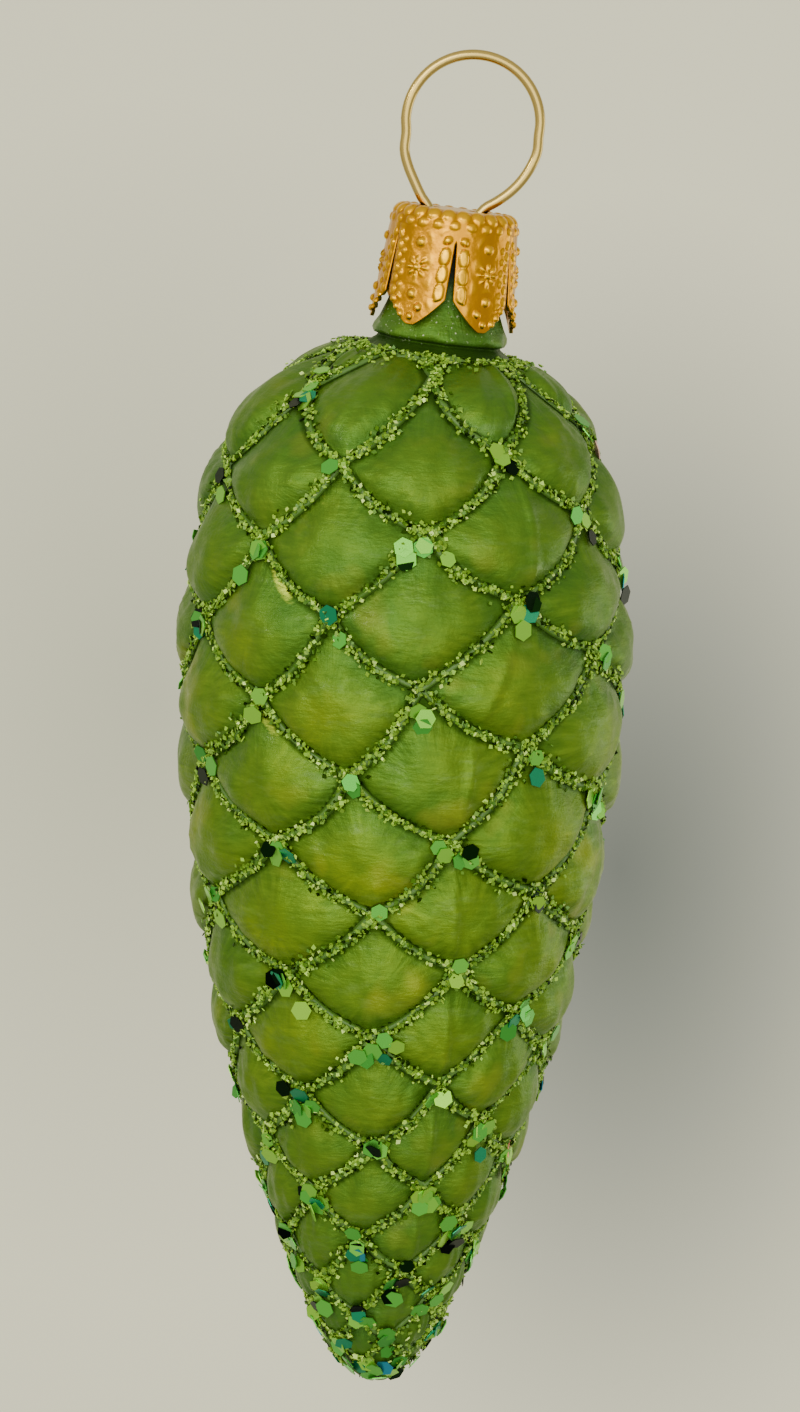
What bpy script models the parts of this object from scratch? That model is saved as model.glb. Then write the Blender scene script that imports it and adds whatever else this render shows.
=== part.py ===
"""Blown glass pine cone ornament with a glitter net, a stamped cap and a wire hanger.

Units are metres and +Z is up. The body, the neck and the net are shaped in a frame whose
origin is the body's tip, and the cap and the wire in a frame at the neck's root. The whole
ornament is then moved so that the inner top of the wire loop lies at the origin.
Angles round the body are 0 at the front (-Y) and grow towards +X.
"""
import math

import bmesh
import bpy
import numpy as np
from mathutils import Matrix, Vector

MERGE = 0.00001
CLEARANCE = 0.0003

# Glass body: crest radius of the scales at heights above the tip
BODY_OUTLINE = (
    (0.0000, 0.0000),
    (0.0016, 0.0006),
    (0.0032, 0.0022),
    (0.0050, 0.0047),
    (0.0071, 0.0090),
    (0.0098, 0.0155),
    (0.0129, 0.0245),
    (0.0156, 0.0345),
    (0.0175, 0.0445),
    (0.0188, 0.0545),
    (0.0191, 0.0635),
    (0.0182, 0.0725),
    (0.0162, 0.0801),
    (0.0125, 0.0852),
    (0.0085, 0.0876),
    (0.0062, 0.0884),
)
GROOVE_HEIGHT = 0.0886
GROOVE_RADIUS = 0.0052
WALL = 0.0010
ROW_STEP = 0.0007
TURN_STEPS = 168
BODY_KEEP = 0.09

# Neck, with heights above the groove
NECK_FOOT_RADIUS = 0.0055
NECK_FOOT_TOP = 0.0008
NECK_RADIUS = 0.0043
NECK_WAIST = 0.0034
NECK_WALL = 0.0008
NECK_SHIFT = 0.0019
NECK_TILT = math.radians(5.2)
LEAN_START = 0.0790

# Scales: the furrows are 8 spirals one way and 6 the other
STEEP_COUNT = 8
FLAT_COUNT = 6
STEP_RIGHT = 25.5
STEP_LEFT = (360.0 - STEEP_COUNT * STEP_RIGHT) / FLAT_COUNT
TURN_START = -6.5
TURN_DRIFT = 6.0
TURN_BOW = -12.8
ROW_PITCH = 0.00093
ROW_SOFTNESS = 31.0
ROW_LAST = 82.7
ROW_BASE = -0.0111
ROW_MIDDLE = 40.0
ROW_HALF_SPAN = 60.0
RELIEF_SHARE = 0.15
CHANNEL = 0.00085
CHANNEL_SHARE = 0.11
UPPER_RAMP = 0.44
LOWER_RAMP = 0.24
SCALE_VARIATION = 0.07
COLLAR_HEIGHT = 0.0880
COLLAR_FADE = 0.0018

# Unevenness of the mould: waves round the body, waves along it, size and phase
SWAY_WAVES = ((1, 3.5, 3.1, 78.0), (1, -5.5, 2.3, -50.0), (3, -2.0, 2.2, 118.0))
HEAVE_WAVES = ((2, 0.5, 0.00056, -91.0), (1, -4.5, 0.00039, -171.0), (2, -6.0, 0.00033, 36.0))
UNEVEN_ROUNDS = 4

# Bow of the furrows between two crossings, as a share of their spacing: each scale's foot is round
FURROW_BOW = 0.075
BOW_ROUNDS = 6

# Glitter net in the furrows, and its flakes
NET_HALF_WIDTH = 0.00054
NET_HALF_HEIGHT = 0.00045
NET_LIFT = 0.00095
NET_TOP_ROW = -24
NET_TOP_HEIGHT = 0.0877
NET_TIP_ROW = 100
GRID_LINE = 0.1
GRID_LONG_EDGE = 0.22
FLAKE_RADIUS = 0.0010
FLAKE_THICKNESS = 0.0006
FLAKE_LIFT = 0.00142
FLAKE_TILT = 0.15
FLAKE_DROP = 0.06
FLAKE_ROW_STEP = 4
FLAKE_SEED = 7

# Cap, with heights below its top
CAP_HEIGHT = 0.0107
CAP_SHEET = 0.0005
CAP_TOP_RADIUS = 0.0052
CAP_FOOT_RADIUS = 0.0059
CAP_SHOULDER = 0.0013
CAP_DEPTH = 0.0094
TAB_COUNT = 6
SLIT_ANGLE = math.radians(3.0)
SLIT_TOP = 0.0023
SLIT_TOP_HALF = 0.00012
SLIT_FOOT = 0.0071
SLIT_FOOT_HALF = 0.00038
DOT_RADIUS = 0.00055
DOT_DEPTHS = (0.0026, 0.0048, 0.0070)

# Wire hanger, in the cap's frame: sideways place and height above the cap's top
WIRE_RADIUS = 0.00042
WIRE_HOLE_RADIUS = 0.0010
WIRE_HOLES = (-0.00226, 0.00190)
LOOP_CENTRE = (0.0004, 0.0071)
LOOP_RADIUS = 0.00545
LEFT_LEG = ((-0.00480, 0.00413), (-0.00436, 0.00297), (-0.00371, 0.00183), (-0.00299, 0.00070),
            (-0.00225, -0.00020), (-0.00195, -0.00140), (-0.00215, -0.00320), (-0.00255, -0.00580))
RIGHT_LEG = ((0.00588, 0.00545), (0.00556, 0.00426), (0.00491, 0.00295), (0.00407, 0.00187),
             (0.00310, 0.00100), (0.00225, 0.00035), (0.00180, -0.00040), (0.00175, -0.00150),
             (0.00205, -0.00330), (0.00255, -0.00580))
LOOP_START = math.radians(195.0)
LOOP_END = math.radians(-5.0)
LOOP_STEPS = 16

CAP_TOP = CAP_HEIGHT
LOOP_INNER_TOP = (LOOP_CENTRE[0], CAP_TOP + LOOP_CENTRE[1] + LOOP_RADIUS - WIRE_RADIUS)


def clear_scene():
    for obj in list(bpy.data.objects):
        bpy.data.objects.remove(obj, do_unlink=True)


def make_collection(name):
    collection = bpy.data.collections.new(name)
    bpy.context.scene.collection.children.link(collection)
    return collection


def make_material(name, colour, roughness, metallic=0.0):
    material = bpy.data.materials.new(name)
    material.use_nodes = True
    shader = material.node_tree.nodes["Principled BSDF"]
    shader.inputs["Base Color"].default_value = (*colour, 1.0)
    shader.inputs["Roughness"].default_value = roughness
    shader.inputs["Metallic"].default_value = metallic
    return material


def add_object(name, data, collection, parent=None):
    obj = bpy.data.objects.new(name, data)
    collection.objects.link(obj)
    obj.parent = parent
    return obj


def evaluated_mesh(obj):
    graph = bpy.context.evaluated_depsgraph_get()
    return bpy.data.meshes.new_from_object(obj.evaluated_get(graph))


def weld(mesh):
    work = bmesh.new()
    work.from_mesh(mesh)
    bmesh.ops.remove_doubles(work, verts=work.verts, dist=MERGE)
    work.to_mesh(mesh)
    work.free()


def turned_mesh(outline, steps):
    """Turn an outline of (radius, height) points about Z and return the mesh."""
    profile = bpy.data.meshes.new("profile")
    points = [(radius, 0.0, height) for radius, height in outline]
    links = [(k, k + 1) for k in range(len(points) - 1)]
    profile.from_pydata(points, links, [])
    obj = add_object("profile", profile, bpy.context.scene.collection)
    screw = obj.modifiers.new("Turn", "SCREW")
    screw.axis = "Z"
    screw.steps = steps
    screw.render_steps = steps
    screw.use_merge_vertices = True
    screw.merge_threshold = MERGE
    mesh = evaluated_mesh(obj)
    bpy.data.objects.remove(obj)
    return mesh


def ease(x):
    x = np.clip(x, 0.0, 1.0)
    return x * x * (3.0 - 2.0 * x)


def smooth_path(points, step):
    """Points along a smooth curve through the given ones, about a step apart."""
    points = np.array(points, dtype=float)
    chords = np.linalg.norm(np.diff(points, axis=0), axis=1)
    marks = np.concatenate([[0.0], np.cumsum(chords)])
    slopes = np.gradient(points, marks, axis=0)
    at = np.linspace(0.0, marks[-1], int(round(marks[-1] / step)) + 1)
    k = np.clip(np.searchsorted(marks, at) - 1, 0, len(marks) - 2)
    span = (marks[k + 1] - marks[k])[:, None]
    t = (at[:, None] - marks[k][:, None]) / span
    from_point = (1 + 2 * t) * (1 - t) ** 2 * points[k] + t * (1 - t) ** 2 * span * slopes[k]
    to_point = t * t * (3 - 2 * t) * points[k + 1] + t * t * (t - 1) * span * slopes[k + 1]
    return from_point + to_point


def body_crest():
    """Crest outline as radius, height and outward normal, from the tip to the groove."""
    path = smooth_path(BODY_OUTLINE, ROW_STEP)
    along = np.gradient(path, axis=0)
    along /= np.linalg.norm(along, axis=1)[:, None]
    normal = np.stack([along[:, 1], -along[:, 0]], axis=1)
    normal[0] = (0.0, -1.0)
    return path[:, 0], path[:, 1], normal


CREST_RADIUS, CREST_HEIGHT, CREST_NORMAL = body_crest()


def row_at(height):
    """Spiral row at a height above the tip: 0 near the shoulder, growing to the tip."""
    rise = np.maximum(height - ROW_BASE, MERGE) / (ROW_PITCH * ROW_SOFTNESS)
    return ROW_LAST - ROW_SOFTNESS * np.log(np.expm1(rise))


def height_at(row):
    return ROW_BASE + ROW_PITCH * ROW_SOFTNESS * np.log1p(np.exp((ROW_LAST - row) / ROW_SOFTNESS))


def drift(row):
    share = (row - ROW_MIDDLE) / ROW_HALF_SPAN
    return TURN_START + TURN_DRIFT * share + TURN_BOW * share * share


def unevenness(waves, angle, row):
    """Sum of slow waves over the body, which fade out towards its top."""
    share = (row - ROW_MIDDLE) / ROW_HALF_SPAN
    total = np.zeros_like(share)
    for turns, rise, size, phase in waves:
        total = total + size * np.sin(np.radians(turns * angle + 90.0 * rise * share + phase))
    return total * np.maximum(0.0, 1.0 - share ** 4)


def bow(count):
    return FURROW_BOW * np.abs(np.sin(math.pi * count))


def lattice_at(angle, height):
    """Spiral counts (right-going, left-going) at an angle in degrees and a height."""
    even = angle
    row = row_at(height)
    for _ in range(UNEVEN_ROUNDS):
        even = angle - unevenness(SWAY_WAVES, even, row)
        row = row_at(height - unevenness(HEAVE_WAVES, even, row))
    turn = even - drift(row)
    right = (STEP_LEFT * row + STEEP_COUNT * turn) / 360.0
    left = (STEP_RIGHT * row - FLAT_COUNT * turn) / 360.0
    return right - bow(left), left - bow(right)


def place_of(right, left):
    """Angle in degrees and height of a point given by its spiral counts."""
    even_right, even_left = right, left
    for _ in range(BOW_ROUNDS):
        even_right, even_left = right + bow(even_left), left + bow(even_right)
    row = FLAT_COUNT * even_right + STEEP_COUNT * even_left
    even = STEP_RIGHT * even_right - STEP_LEFT * even_left + drift(row)
    angle = even + unevenness(SWAY_WAVES, even, row)
    return angle, height_at(row) + unevenness(HEAVE_WAVES, even, row)


def spacings(height):
    """Distance between neighbouring furrows of each family at a height."""
    row = row_at(height)
    pitch = ROW_PITCH / (1.0 + np.exp((row - ROW_LAST) / ROW_SOFTNESS))
    radius = np.maximum(np.interp(height, CREST_HEIGHT, CREST_RADIUS), 2 * ROW_STEP)
    around = 2.0 * math.pi * radius
    slant_right = np.hypot(STEP_LEFT / 360.0 / pitch, STEEP_COUNT / around)
    slant_left = np.hypot(STEP_RIGHT / 360.0 / pitch, FLAT_COUNT / around)
    return 1.0 / slant_right, 1.0 / slant_left


def ramp_up(share, spacing, channel):
    """Height of a scale across one family of furrows, 0 in the furrow and 1 on the crest."""
    part = share - np.floor(share)
    from_top = (part * spacing - channel) / (UPPER_RAMP * spacing)
    from_foot = ((1.0 - part) * spacing - channel) / (LOWER_RAMP * spacing)
    gentle = 1.0 - (1.0 - np.clip(from_top, 0.0, 1.0)) ** 2
    steep = np.sqrt(1.0 - (1.0 - np.clip(from_foot, 0.0, 1.0)) ** 2)
    return gentle * steep


def relief_depth(height):
    right_gap, left_gap = spacings(height)
    return RELIEF_SHARE * np.minimum(right_gap, left_gap)


def furrow_depth(angle, height):
    """Depth of the glass below the crest outline at an angle and a height."""
    right, left = lattice_at(angle, height)
    right_gap, left_gap = spacings(height)
    channel = np.minimum(CHANNEL, CHANNEL_SHARE * np.minimum(right_gap, left_gap))
    turn = np.floor(np.floor(right) / STEEP_COUNT)
    column = np.floor(right) - STEEP_COUNT * turn
    line = np.floor(left) + FLAT_COUNT * turn
    fullness = 1.0 - SCALE_VARIATION * (1.0 + np.sin(2.3 * column + 3.7 * line))
    fullness *= ease((COLLAR_HEIGHT - height) / COLLAR_FADE)
    raised = ramp_up(right, right_gap, channel) * ramp_up(left, left_gap, channel) * fullness
    return relief_depth(height) * (1.0 - raised)


def lean(points):
    """Shift and tilt the top of the body and the neck to the right."""
    x, y, z = points.T
    share = ease((z - LEAN_START) / (GROOVE_HEIGHT - LEAN_START))
    tilt = NECK_TILT * share
    above = z - GROOVE_HEIGHT
    moved_x = NECK_SHIFT * share + x * np.cos(tilt) + above * np.sin(tilt)
    moved_z = GROOVE_HEIGHT - x * np.sin(tilt) + above * np.cos(tilt)
    return np.stack([moved_x, y, moved_z], axis=1)


def read_points(mesh):
    points = np.empty(len(mesh.vertices) * 3)
    mesh.vertices.foreach_get("co", points)
    return points.reshape(-1, 3)


def write_points(mesh, points):
    mesh.vertices.foreach_set("co", points.ravel())
    mesh.update()


def finish_mesh(mesh, material):
    mesh.materials.clear()
    mesh.materials.append(material)
    mesh.shade_smooth()
    mesh.set_sharp_from_angle(angle=math.radians(35.0))


def neck_outline():
    """Neck from its inner root up, over the rim and down outside to the groove."""
    bore = NECK_RADIUS - NECK_WALL
    rim = CAP_TOP - CAP_SHEET - CLEARANCE
    heights = (
        (bore, -0.0004),
        (bore, 0.5 * rim),
        (bore, rim - 0.25 * NECK_WALL),
        (bore + 0.25 * NECK_WALL, rim),
        (NECK_RADIUS - 0.25 * NECK_WALL, rim),
        (NECK_RADIUS, rim - 0.25 * NECK_WALL),
        (NECK_RADIUS, 0.5 * rim),
        (NECK_RADIUS + 0.0001, NECK_WAIST),
        (0.7 * NECK_RADIUS + 0.3 * NECK_FOOT_RADIUS, 0.5 * (NECK_WAIST + NECK_FOOT_TOP)),
        (NECK_FOOT_RADIUS, NECK_FOOT_TOP),
        (NECK_FOOT_RADIUS, 0.0005),
        (GROOVE_RADIUS, 0.0),
    )
    return [(radius, GROOVE_HEIGHT + height) for radius, height in heights]


def body_inside():
    """Inner outline from its own tip up to the neck's bore."""
    depth = relief_depth(CREST_HEIGHT) + WALL
    radius = CREST_RADIUS - depth * CREST_NORMAL[:, 0]
    height = CREST_HEIGHT - depth * CREST_NORMAL[:, 1]
    bore = NECK_RADIUS - NECK_WALL
    keep = (radius > 0.8 * WALL) & (radius > bore * (height > 0.5 * GROOVE_HEIGHT))
    inside = np.stack([radius[keep], height[keep]], axis=1)[::6]
    start = (0.0, inside[0][1] - 0.3 * WALL)
    return [start, *map(tuple, inside)]


def make_glass_body(collection, parent, material):
    outside = list(zip(CREST_RADIUS[::-1], CREST_HEIGHT[::-1]))
    mesh = turned_mesh(body_inside() + neck_outline() + outside, TURN_STEPS)
    points = read_points(mesh)
    radius = np.hypot(points[:, 0], points[:, 1])
    height = points[:, 2]
    angle = np.degrees(np.arctan2(points[:, 0], -points[:, 1]))
    on_crest = abs(radius - np.interp(height, CREST_HEIGHT, CREST_RADIUS)) < MERGE
    on_crest &= height <= CREST_HEIGHT[-1] + MERGE
    depth = np.where(on_crest, furrow_depth(angle, height), 0.0)
    out = np.interp(height, CREST_HEIGHT, CREST_NORMAL[:, 0])
    up = np.interp(height, CREST_HEIGHT, CREST_NORMAL[:, 1])
    turn = np.radians(angle)
    points[:, 0] -= depth * out * np.sin(turn)
    points[:, 1] += depth * out * np.cos(turn)
    points[:, 2] -= depth * up
    write_points(mesh, lean(points))
    finish_mesh(mesh, material)
    obj = add_object("glass_body", mesh, collection, parent)
    thin = obj.modifiers.new("Thin", "DECIMATE")
    thin.ratio = BODY_KEEP


def on_body(right, left, lift):
    """Points at spiral counts, lifted from the furrow floor, and the normals there."""
    angle, height = place_of(right, left)
    height = np.minimum(height, NET_TOP_HEIGHT)
    turn = np.radians(angle)
    radius = np.interp(height, CREST_HEIGHT, CREST_RADIUS)
    out = np.interp(height, CREST_HEIGHT, CREST_NORMAL[:, 0])
    up = np.interp(height, CREST_HEIGHT, CREST_NORMAL[:, 1])
    rise = lift - relief_depth(height)
    sideways = radius + rise * out
    points = np.stack([sideways * np.sin(turn), -sideways * np.cos(turn), height + rise * up], axis=1)
    normals = np.stack([out * np.sin(turn), -out * np.cos(turn), up], axis=1)
    return lean(points), normals


def furrow_grid():
    """One turn of the furrow lattice as a flat net, in spiral counts, open along its rims."""
    first = math.floor((NET_TOP_ROW - FLAT_COUNT * STEEP_COUNT) / STEEP_COUNT) - 1
    last = math.ceil(NET_TIP_ROW / STEEP_COUNT) + 1
    grid = bmesh.new()
    bmesh.ops.create_grid(grid, x_segments=STEEP_COUNT, y_segments=last - first, size=0.5)
    for vert in grid.verts:
        vert.co.x = round((vert.co.x + 0.5) * STEEP_COUNT)
        vert.co.y = first + round((vert.co.y + 0.5) * (last - first))
    across = Vector((FLAT_COUNT, STEEP_COUNT, 0.0))
    for row, outward in ((NET_TOP_ROW, -1.0), (NET_TIP_ROW, 1.0)):
        everything = grid.verts[:] + grid.edges[:] + grid.faces[:]
        bmesh.ops.bisect_plane(grid, geom=everything, dist=MERGE, plane_no=across * outward,
                               plane_co=across * (row / across.length_squared), clear_outer=True)
    mesh = bpy.data.meshes.new("furrow_grid")
    grid.to_mesh(mesh)
    grid.free()
    obj = add_object("furrow_grid", mesh, bpy.context.scene.collection)
    wire = obj.modifiers.new("Net", "WIREFRAME")
    wire.thickness = GRID_LINE
    wire.use_boundary = False
    net = bmesh.new()
    net.from_mesh(evaluated_mesh(obj))
    bpy.data.objects.remove(obj)
    return net


def close_rims(net):
    """Wall up the net's open edge at the groove and at the tip."""
    open_edges = [edge for edge in net.edges if edge.is_boundary]
    middle = 0.5 * GROOVE_HEIGHT
    for above in (True, False):
        rim = [edge for edge in open_edges if (edge.verts[0].co.z > middle) == above]
        bmesh.ops.bridge_loops(net, edges=rim)


def flake_places():
    """Spiral counts of every second furrow crossing on the net."""
    for right in range(STEEP_COUNT):
        lowest = math.ceil((NET_TOP_ROW + 2 - FLAT_COUNT * right) / STEEP_COUNT)
        highest = math.floor((NET_TIP_ROW - 2 - FLAT_COUNT * right) / STEEP_COUNT)
        for left in range(lowest, highest + 1):
            if (FLAT_COUNT * right + STEEP_COUNT * left) % FLAKE_ROW_STEP == 0:
                yield right, left


def add_flake(collection, rng, right, left):
    points, normals = on_body(np.array([right]), np.array([left]), FLAKE_LIFT)
    tilt = Vector(rng.normal(0.0, FLAKE_TILT, 3))
    facing = (Vector(normals[0]) + tilt).normalized()
    turn = facing.to_track_quat("Z", "Y").to_matrix().to_4x4()
    spin = Matrix.Rotation(rng.uniform(0.0, math.pi), 4, "Z")
    flake = bmesh.new()
    bmesh.ops.create_cone(flake, cap_ends=True, segments=6, radius1=FLAKE_RADIUS,
                          radius2=FLAKE_RADIUS, depth=FLAKE_THICKNESS,
                          matrix=Matrix.Translation(points[0]) @ turn @ spin)
    mesh = bpy.data.meshes.new("flake")
    flake.to_mesh(mesh)
    flake.free()
    add_object("flake", mesh, collection)


def fuse(obj, collection, operation="UNION", solver="EXACT"):
    """Join or cut an object with a whole collection, which is then removed."""
    boolean = obj.modifiers.new("Fuse", "BOOLEAN")
    boolean.operation = operation
    boolean.solver = solver
    boolean.operand_type = "COLLECTION"
    boolean.collection = collection
    obj.data = evaluated_mesh(obj)
    obj.modifiers.clear()
    for tool in list(collection.objects):
        bpy.data.objects.remove(tool)
    bpy.data.collections.remove(collection)


def make_glitter_net(collection, parent, material):
    net = furrow_grid()
    long_edges = [edge for edge in net.edges if edge.calc_length() > GRID_LONG_EDGE]
    bmesh.ops.subdivide_edges(net, edges=long_edges, cuts=1)
    flat = np.array([vert.co[:] for vert in net.verts])
    levels = np.sign(np.round(flat[:, 2], 4))
    _, height = place_of(flat[:, 0], flat[:, 1])
    counts = []
    for count, spacing in zip(flat[:, :2].T, spacings(height)):
        off_line = count - np.round(count)
        beside = np.round(count) + np.sign(off_line) * NET_HALF_WIDTH / spacing
        near_line = (abs(off_line) > 0.2 * GRID_LINE) & (abs(off_line) < 0.8 * GRID_LINE)
        counts.append(np.where(near_line, beside, count))
    points, _ = on_body(*counts, NET_LIFT + NET_HALF_HEIGHT * levels)
    for vert, point in zip(net.verts, points):
        vert.co = point
    bmesh.ops.remove_doubles(net, verts=net.verts, dist=MERGE)
    close_rims(net)
    bmesh.ops.recalc_face_normals(net, faces=net.faces)
    mesh = bpy.data.meshes.new("glitter_net")
    net.to_mesh(mesh)
    net.free()
    obj = add_object("glitter_net", mesh, collection)
    flakes = make_collection("flakes")
    rng = np.random.default_rng(FLAKE_SEED)
    for right, left in flake_places():
        add_flake(flakes, rng, right + FLAKE_DROP, left + FLAKE_DROP)
    fuse(obj, flakes, solver="MANIFOLD")
    obj.parent = parent
    finish_mesh(obj.data, material)


def cap_radius(depth):
    """Outer radius of the cap's skirt at a depth below its top."""
    share = max(0.0, (depth - CAP_SHOULDER) / (CAP_DEPTH - CAP_SHOULDER))
    return CAP_TOP_RADIUS + (CAP_FOOT_RADIUS - CAP_TOP_RADIUS) * share


def cap_outline():
    """Stamped sheet from the middle of its top, over the shoulder, down and back inside."""
    outer = [(0.0, 0.0)]
    inner = [(0.0, CAP_SHEET)]
    centre = CAP_TOP_RADIUS - CAP_SHOULDER
    for degrees in (0, 22, 45, 68, 90):
        turn = math.radians(degrees)
        for rail, reach in ((outer, CAP_SHOULDER), (inner, CAP_SHOULDER - CAP_SHEET)):
            rail.append((centre + reach * math.sin(turn), CAP_SHOULDER - reach * math.cos(turn)))
    for depth in (0.5 * CAP_DEPTH, CAP_DEPTH):
        outer.append((cap_radius(depth), depth))
        inner.append((cap_radius(depth) - CAP_SHEET, depth))
    return [(radius, CAP_TOP - depth) for radius, depth in outer + inner[::-1]]


def add_notch(collection, angle):
    """Cutter for one slit, which widens into the gap between two pointed tabs."""
    tip = CAP_FOOT_RADIUS * math.sin(math.pi / TAB_COUNT) - 0.5 * CAP_SHEET
    right = [(SLIT_TOP_HALF, SLIT_TOP), (SLIT_FOOT_HALF, SLIT_FOOT),
             (tip, CAP_DEPTH), (tip, CAP_DEPTH + CAP_SHOULDER)]
    outline = right + [(-x, depth) for x, depth in right[::-1]]
    curve = bpy.data.curves.new("notch", "CURVE")
    curve.dimensions = "2D"
    curve.fill_mode = "BOTH"
    curve.extrude = 0.5 * CAP_TOP_RADIUS
    spline = curve.splines.new("POLY")
    spline.points.add(len(outline) - 1)
    for point, (x, depth) in zip(spline.points, outline):
        point.co = (x, CAP_TOP - depth, 0.0, 1.0)
    spline.use_cyclic_u = True
    flat = add_object("notch_outline", curve, collection)
    mesh = evaluated_mesh(flat)
    bpy.data.objects.remove(flat)
    weld(mesh)
    upright = Matrix.Rotation(math.radians(90.0), 4, "X")
    forward = Matrix.Translation((0.0, -CAP_FOOT_RADIUS, 0.0))
    mesh.transform(Matrix.Rotation(angle, 4, "Z") @ forward @ upright)
    add_object("notch", mesh, collection)


def add_primitive(collection, make, matrix, **sizes):
    work = bmesh.new()
    make(work, matrix=matrix, **sizes)
    mesh = bpy.data.meshes.new("tool")
    work.to_mesh(mesh)
    work.free()
    add_object("tool", mesh, collection)


def make_cap(collection, parent, material):
    mesh = turned_mesh(cap_outline(), 8 * TAB_COUNT)
    obj = add_object("cap", mesh, collection)
    cutters = make_collection("cap_cutters")
    for k in range(TAB_COUNT):
        add_notch(cutters, SLIT_ANGLE + k * math.tau / TAB_COUNT)
    for side in WIRE_HOLES:
        add_primitive(cutters, bmesh.ops.create_cone, Matrix.Translation((side, 0.0, CAP_TOP)),
                      cap_ends=True, segments=16, radius1=WIRE_HOLE_RADIUS,
                      radius2=WIRE_HOLE_RADIUS, depth=4.0 * CAP_SHEET)
    fuse(obj, cutters, operation="DIFFERENCE")
    dots = make_collection("cap_dots")
    for k in range(TAB_COUNT):
        angle = SLIT_ANGLE + (k + 0.5) * math.tau / TAB_COUNT
        for depth in DOT_DEPTHS:
            place = Matrix.Rotation(angle, 4, "Z")
            place = place @ Matrix.Translation((0.0, -cap_radius(depth), CAP_TOP - depth))
            add_primitive(dots, bmesh.ops.create_icosphere, place, subdivisions=1,
                          radius=DOT_RADIUS)
    fuse(obj, dots)
    obj.parent = parent
    finish_mesh(obj.data, material)


def wire_path():
    """Middle line of the wire, from the left leg's end, round the loop, to the right one's."""
    loop = []
    for k in range(LOOP_STEPS + 1):
        turn = LOOP_START + (LOOP_END - LOOP_START) * k / LOOP_STEPS
        loop.append((LOOP_CENTRE[0] + LOOP_RADIUS * math.cos(turn),
                     LOOP_CENTRE[1] + LOOP_RADIUS * math.sin(turn)))
    return smooth_path([*LEFT_LEG[::-1], *loop, *RIGHT_LEG], 2.8 * WIRE_RADIUS)


def make_wire_hanger(collection, parent, material):
    curve = bpy.data.curves.new("wire_hanger", "CURVE")
    curve.dimensions = "3D"
    curve.bevel_depth = WIRE_RADIUS
    curve.bevel_resolution = 2
    curve.use_fill_caps = True
    path = wire_path()
    spline = curve.splines.new("POLY")
    spline.points.add(len(path) - 1)
    for point, (x, height) in zip(spline.points, path):
        point.co = (x, 0.0, CAP_TOP + height, 1.0)
    curve.materials.append(material)
    add_object("wire_hanger", curve, collection, parent)


def build():
    clear_scene()
    parts = make_collection("pine_cone_ornament")
    glass = make_material("lacquered_glass", (0.13, 0.27, 0.02), 0.35)
    glitter = make_material("glitter", (0.12, 0.36, 0.03), 0.3, 0.4)
    gold = make_material("gold_sheet", (0.80, 0.48, 0.06), 0.3, 1.0)
    wire = make_material("gold_wire", (0.75, 0.55, 0.22), 0.25, 1.0)
    side, rise = LOOP_INNER_TOP
    hang_x = NECK_SHIFT + side * math.cos(NECK_TILT) + rise * math.sin(NECK_TILT)
    hang_z = GROOVE_HEIGHT - side * math.sin(NECK_TILT) + rise * math.cos(NECK_TILT)
    frame = add_object("ornament_frame", None, parts)
    frame.location = (-hang_x, 0.0, -hang_z)
    neck = add_object("neck_frame", None, parts, frame)
    neck.location = (NECK_SHIFT, 0.0, GROOVE_HEIGHT)
    neck.rotation_euler = (0.0, NECK_TILT, 0.0)
    make_glass_body(parts, frame, glass)
    make_glitter_net(parts, frame, glitter)
    make_cap(parts, neck, gold)
    make_wire_hanger(parts, neck, wire)


build()
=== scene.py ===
"""Looks of the pine cone glass ornament: lacquered scales, glitter furrows, gold cap and wire."""
import math

import bmesh
import bpy
import numpy as np
from mathutils import Matrix, Vector


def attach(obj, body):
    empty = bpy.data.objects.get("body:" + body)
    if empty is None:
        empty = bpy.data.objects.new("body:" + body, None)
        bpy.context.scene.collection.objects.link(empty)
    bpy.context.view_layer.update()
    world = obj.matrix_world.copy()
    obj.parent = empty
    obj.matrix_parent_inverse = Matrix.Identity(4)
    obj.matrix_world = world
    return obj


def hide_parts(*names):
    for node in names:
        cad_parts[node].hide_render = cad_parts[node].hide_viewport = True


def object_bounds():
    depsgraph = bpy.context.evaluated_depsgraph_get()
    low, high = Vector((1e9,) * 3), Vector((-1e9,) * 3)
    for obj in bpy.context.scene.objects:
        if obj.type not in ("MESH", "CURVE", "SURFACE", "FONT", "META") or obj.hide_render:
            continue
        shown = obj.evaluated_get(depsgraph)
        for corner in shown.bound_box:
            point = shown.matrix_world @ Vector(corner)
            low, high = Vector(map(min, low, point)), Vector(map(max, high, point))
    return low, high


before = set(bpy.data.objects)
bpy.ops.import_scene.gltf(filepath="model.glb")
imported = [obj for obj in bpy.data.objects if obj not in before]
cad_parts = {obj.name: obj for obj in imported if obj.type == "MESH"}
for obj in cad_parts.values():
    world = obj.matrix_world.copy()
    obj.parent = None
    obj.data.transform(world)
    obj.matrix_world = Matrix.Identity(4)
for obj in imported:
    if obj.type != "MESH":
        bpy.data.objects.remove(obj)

CAD_BOX = [list(corner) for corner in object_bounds()]
MERGE = 0.00001

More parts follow.
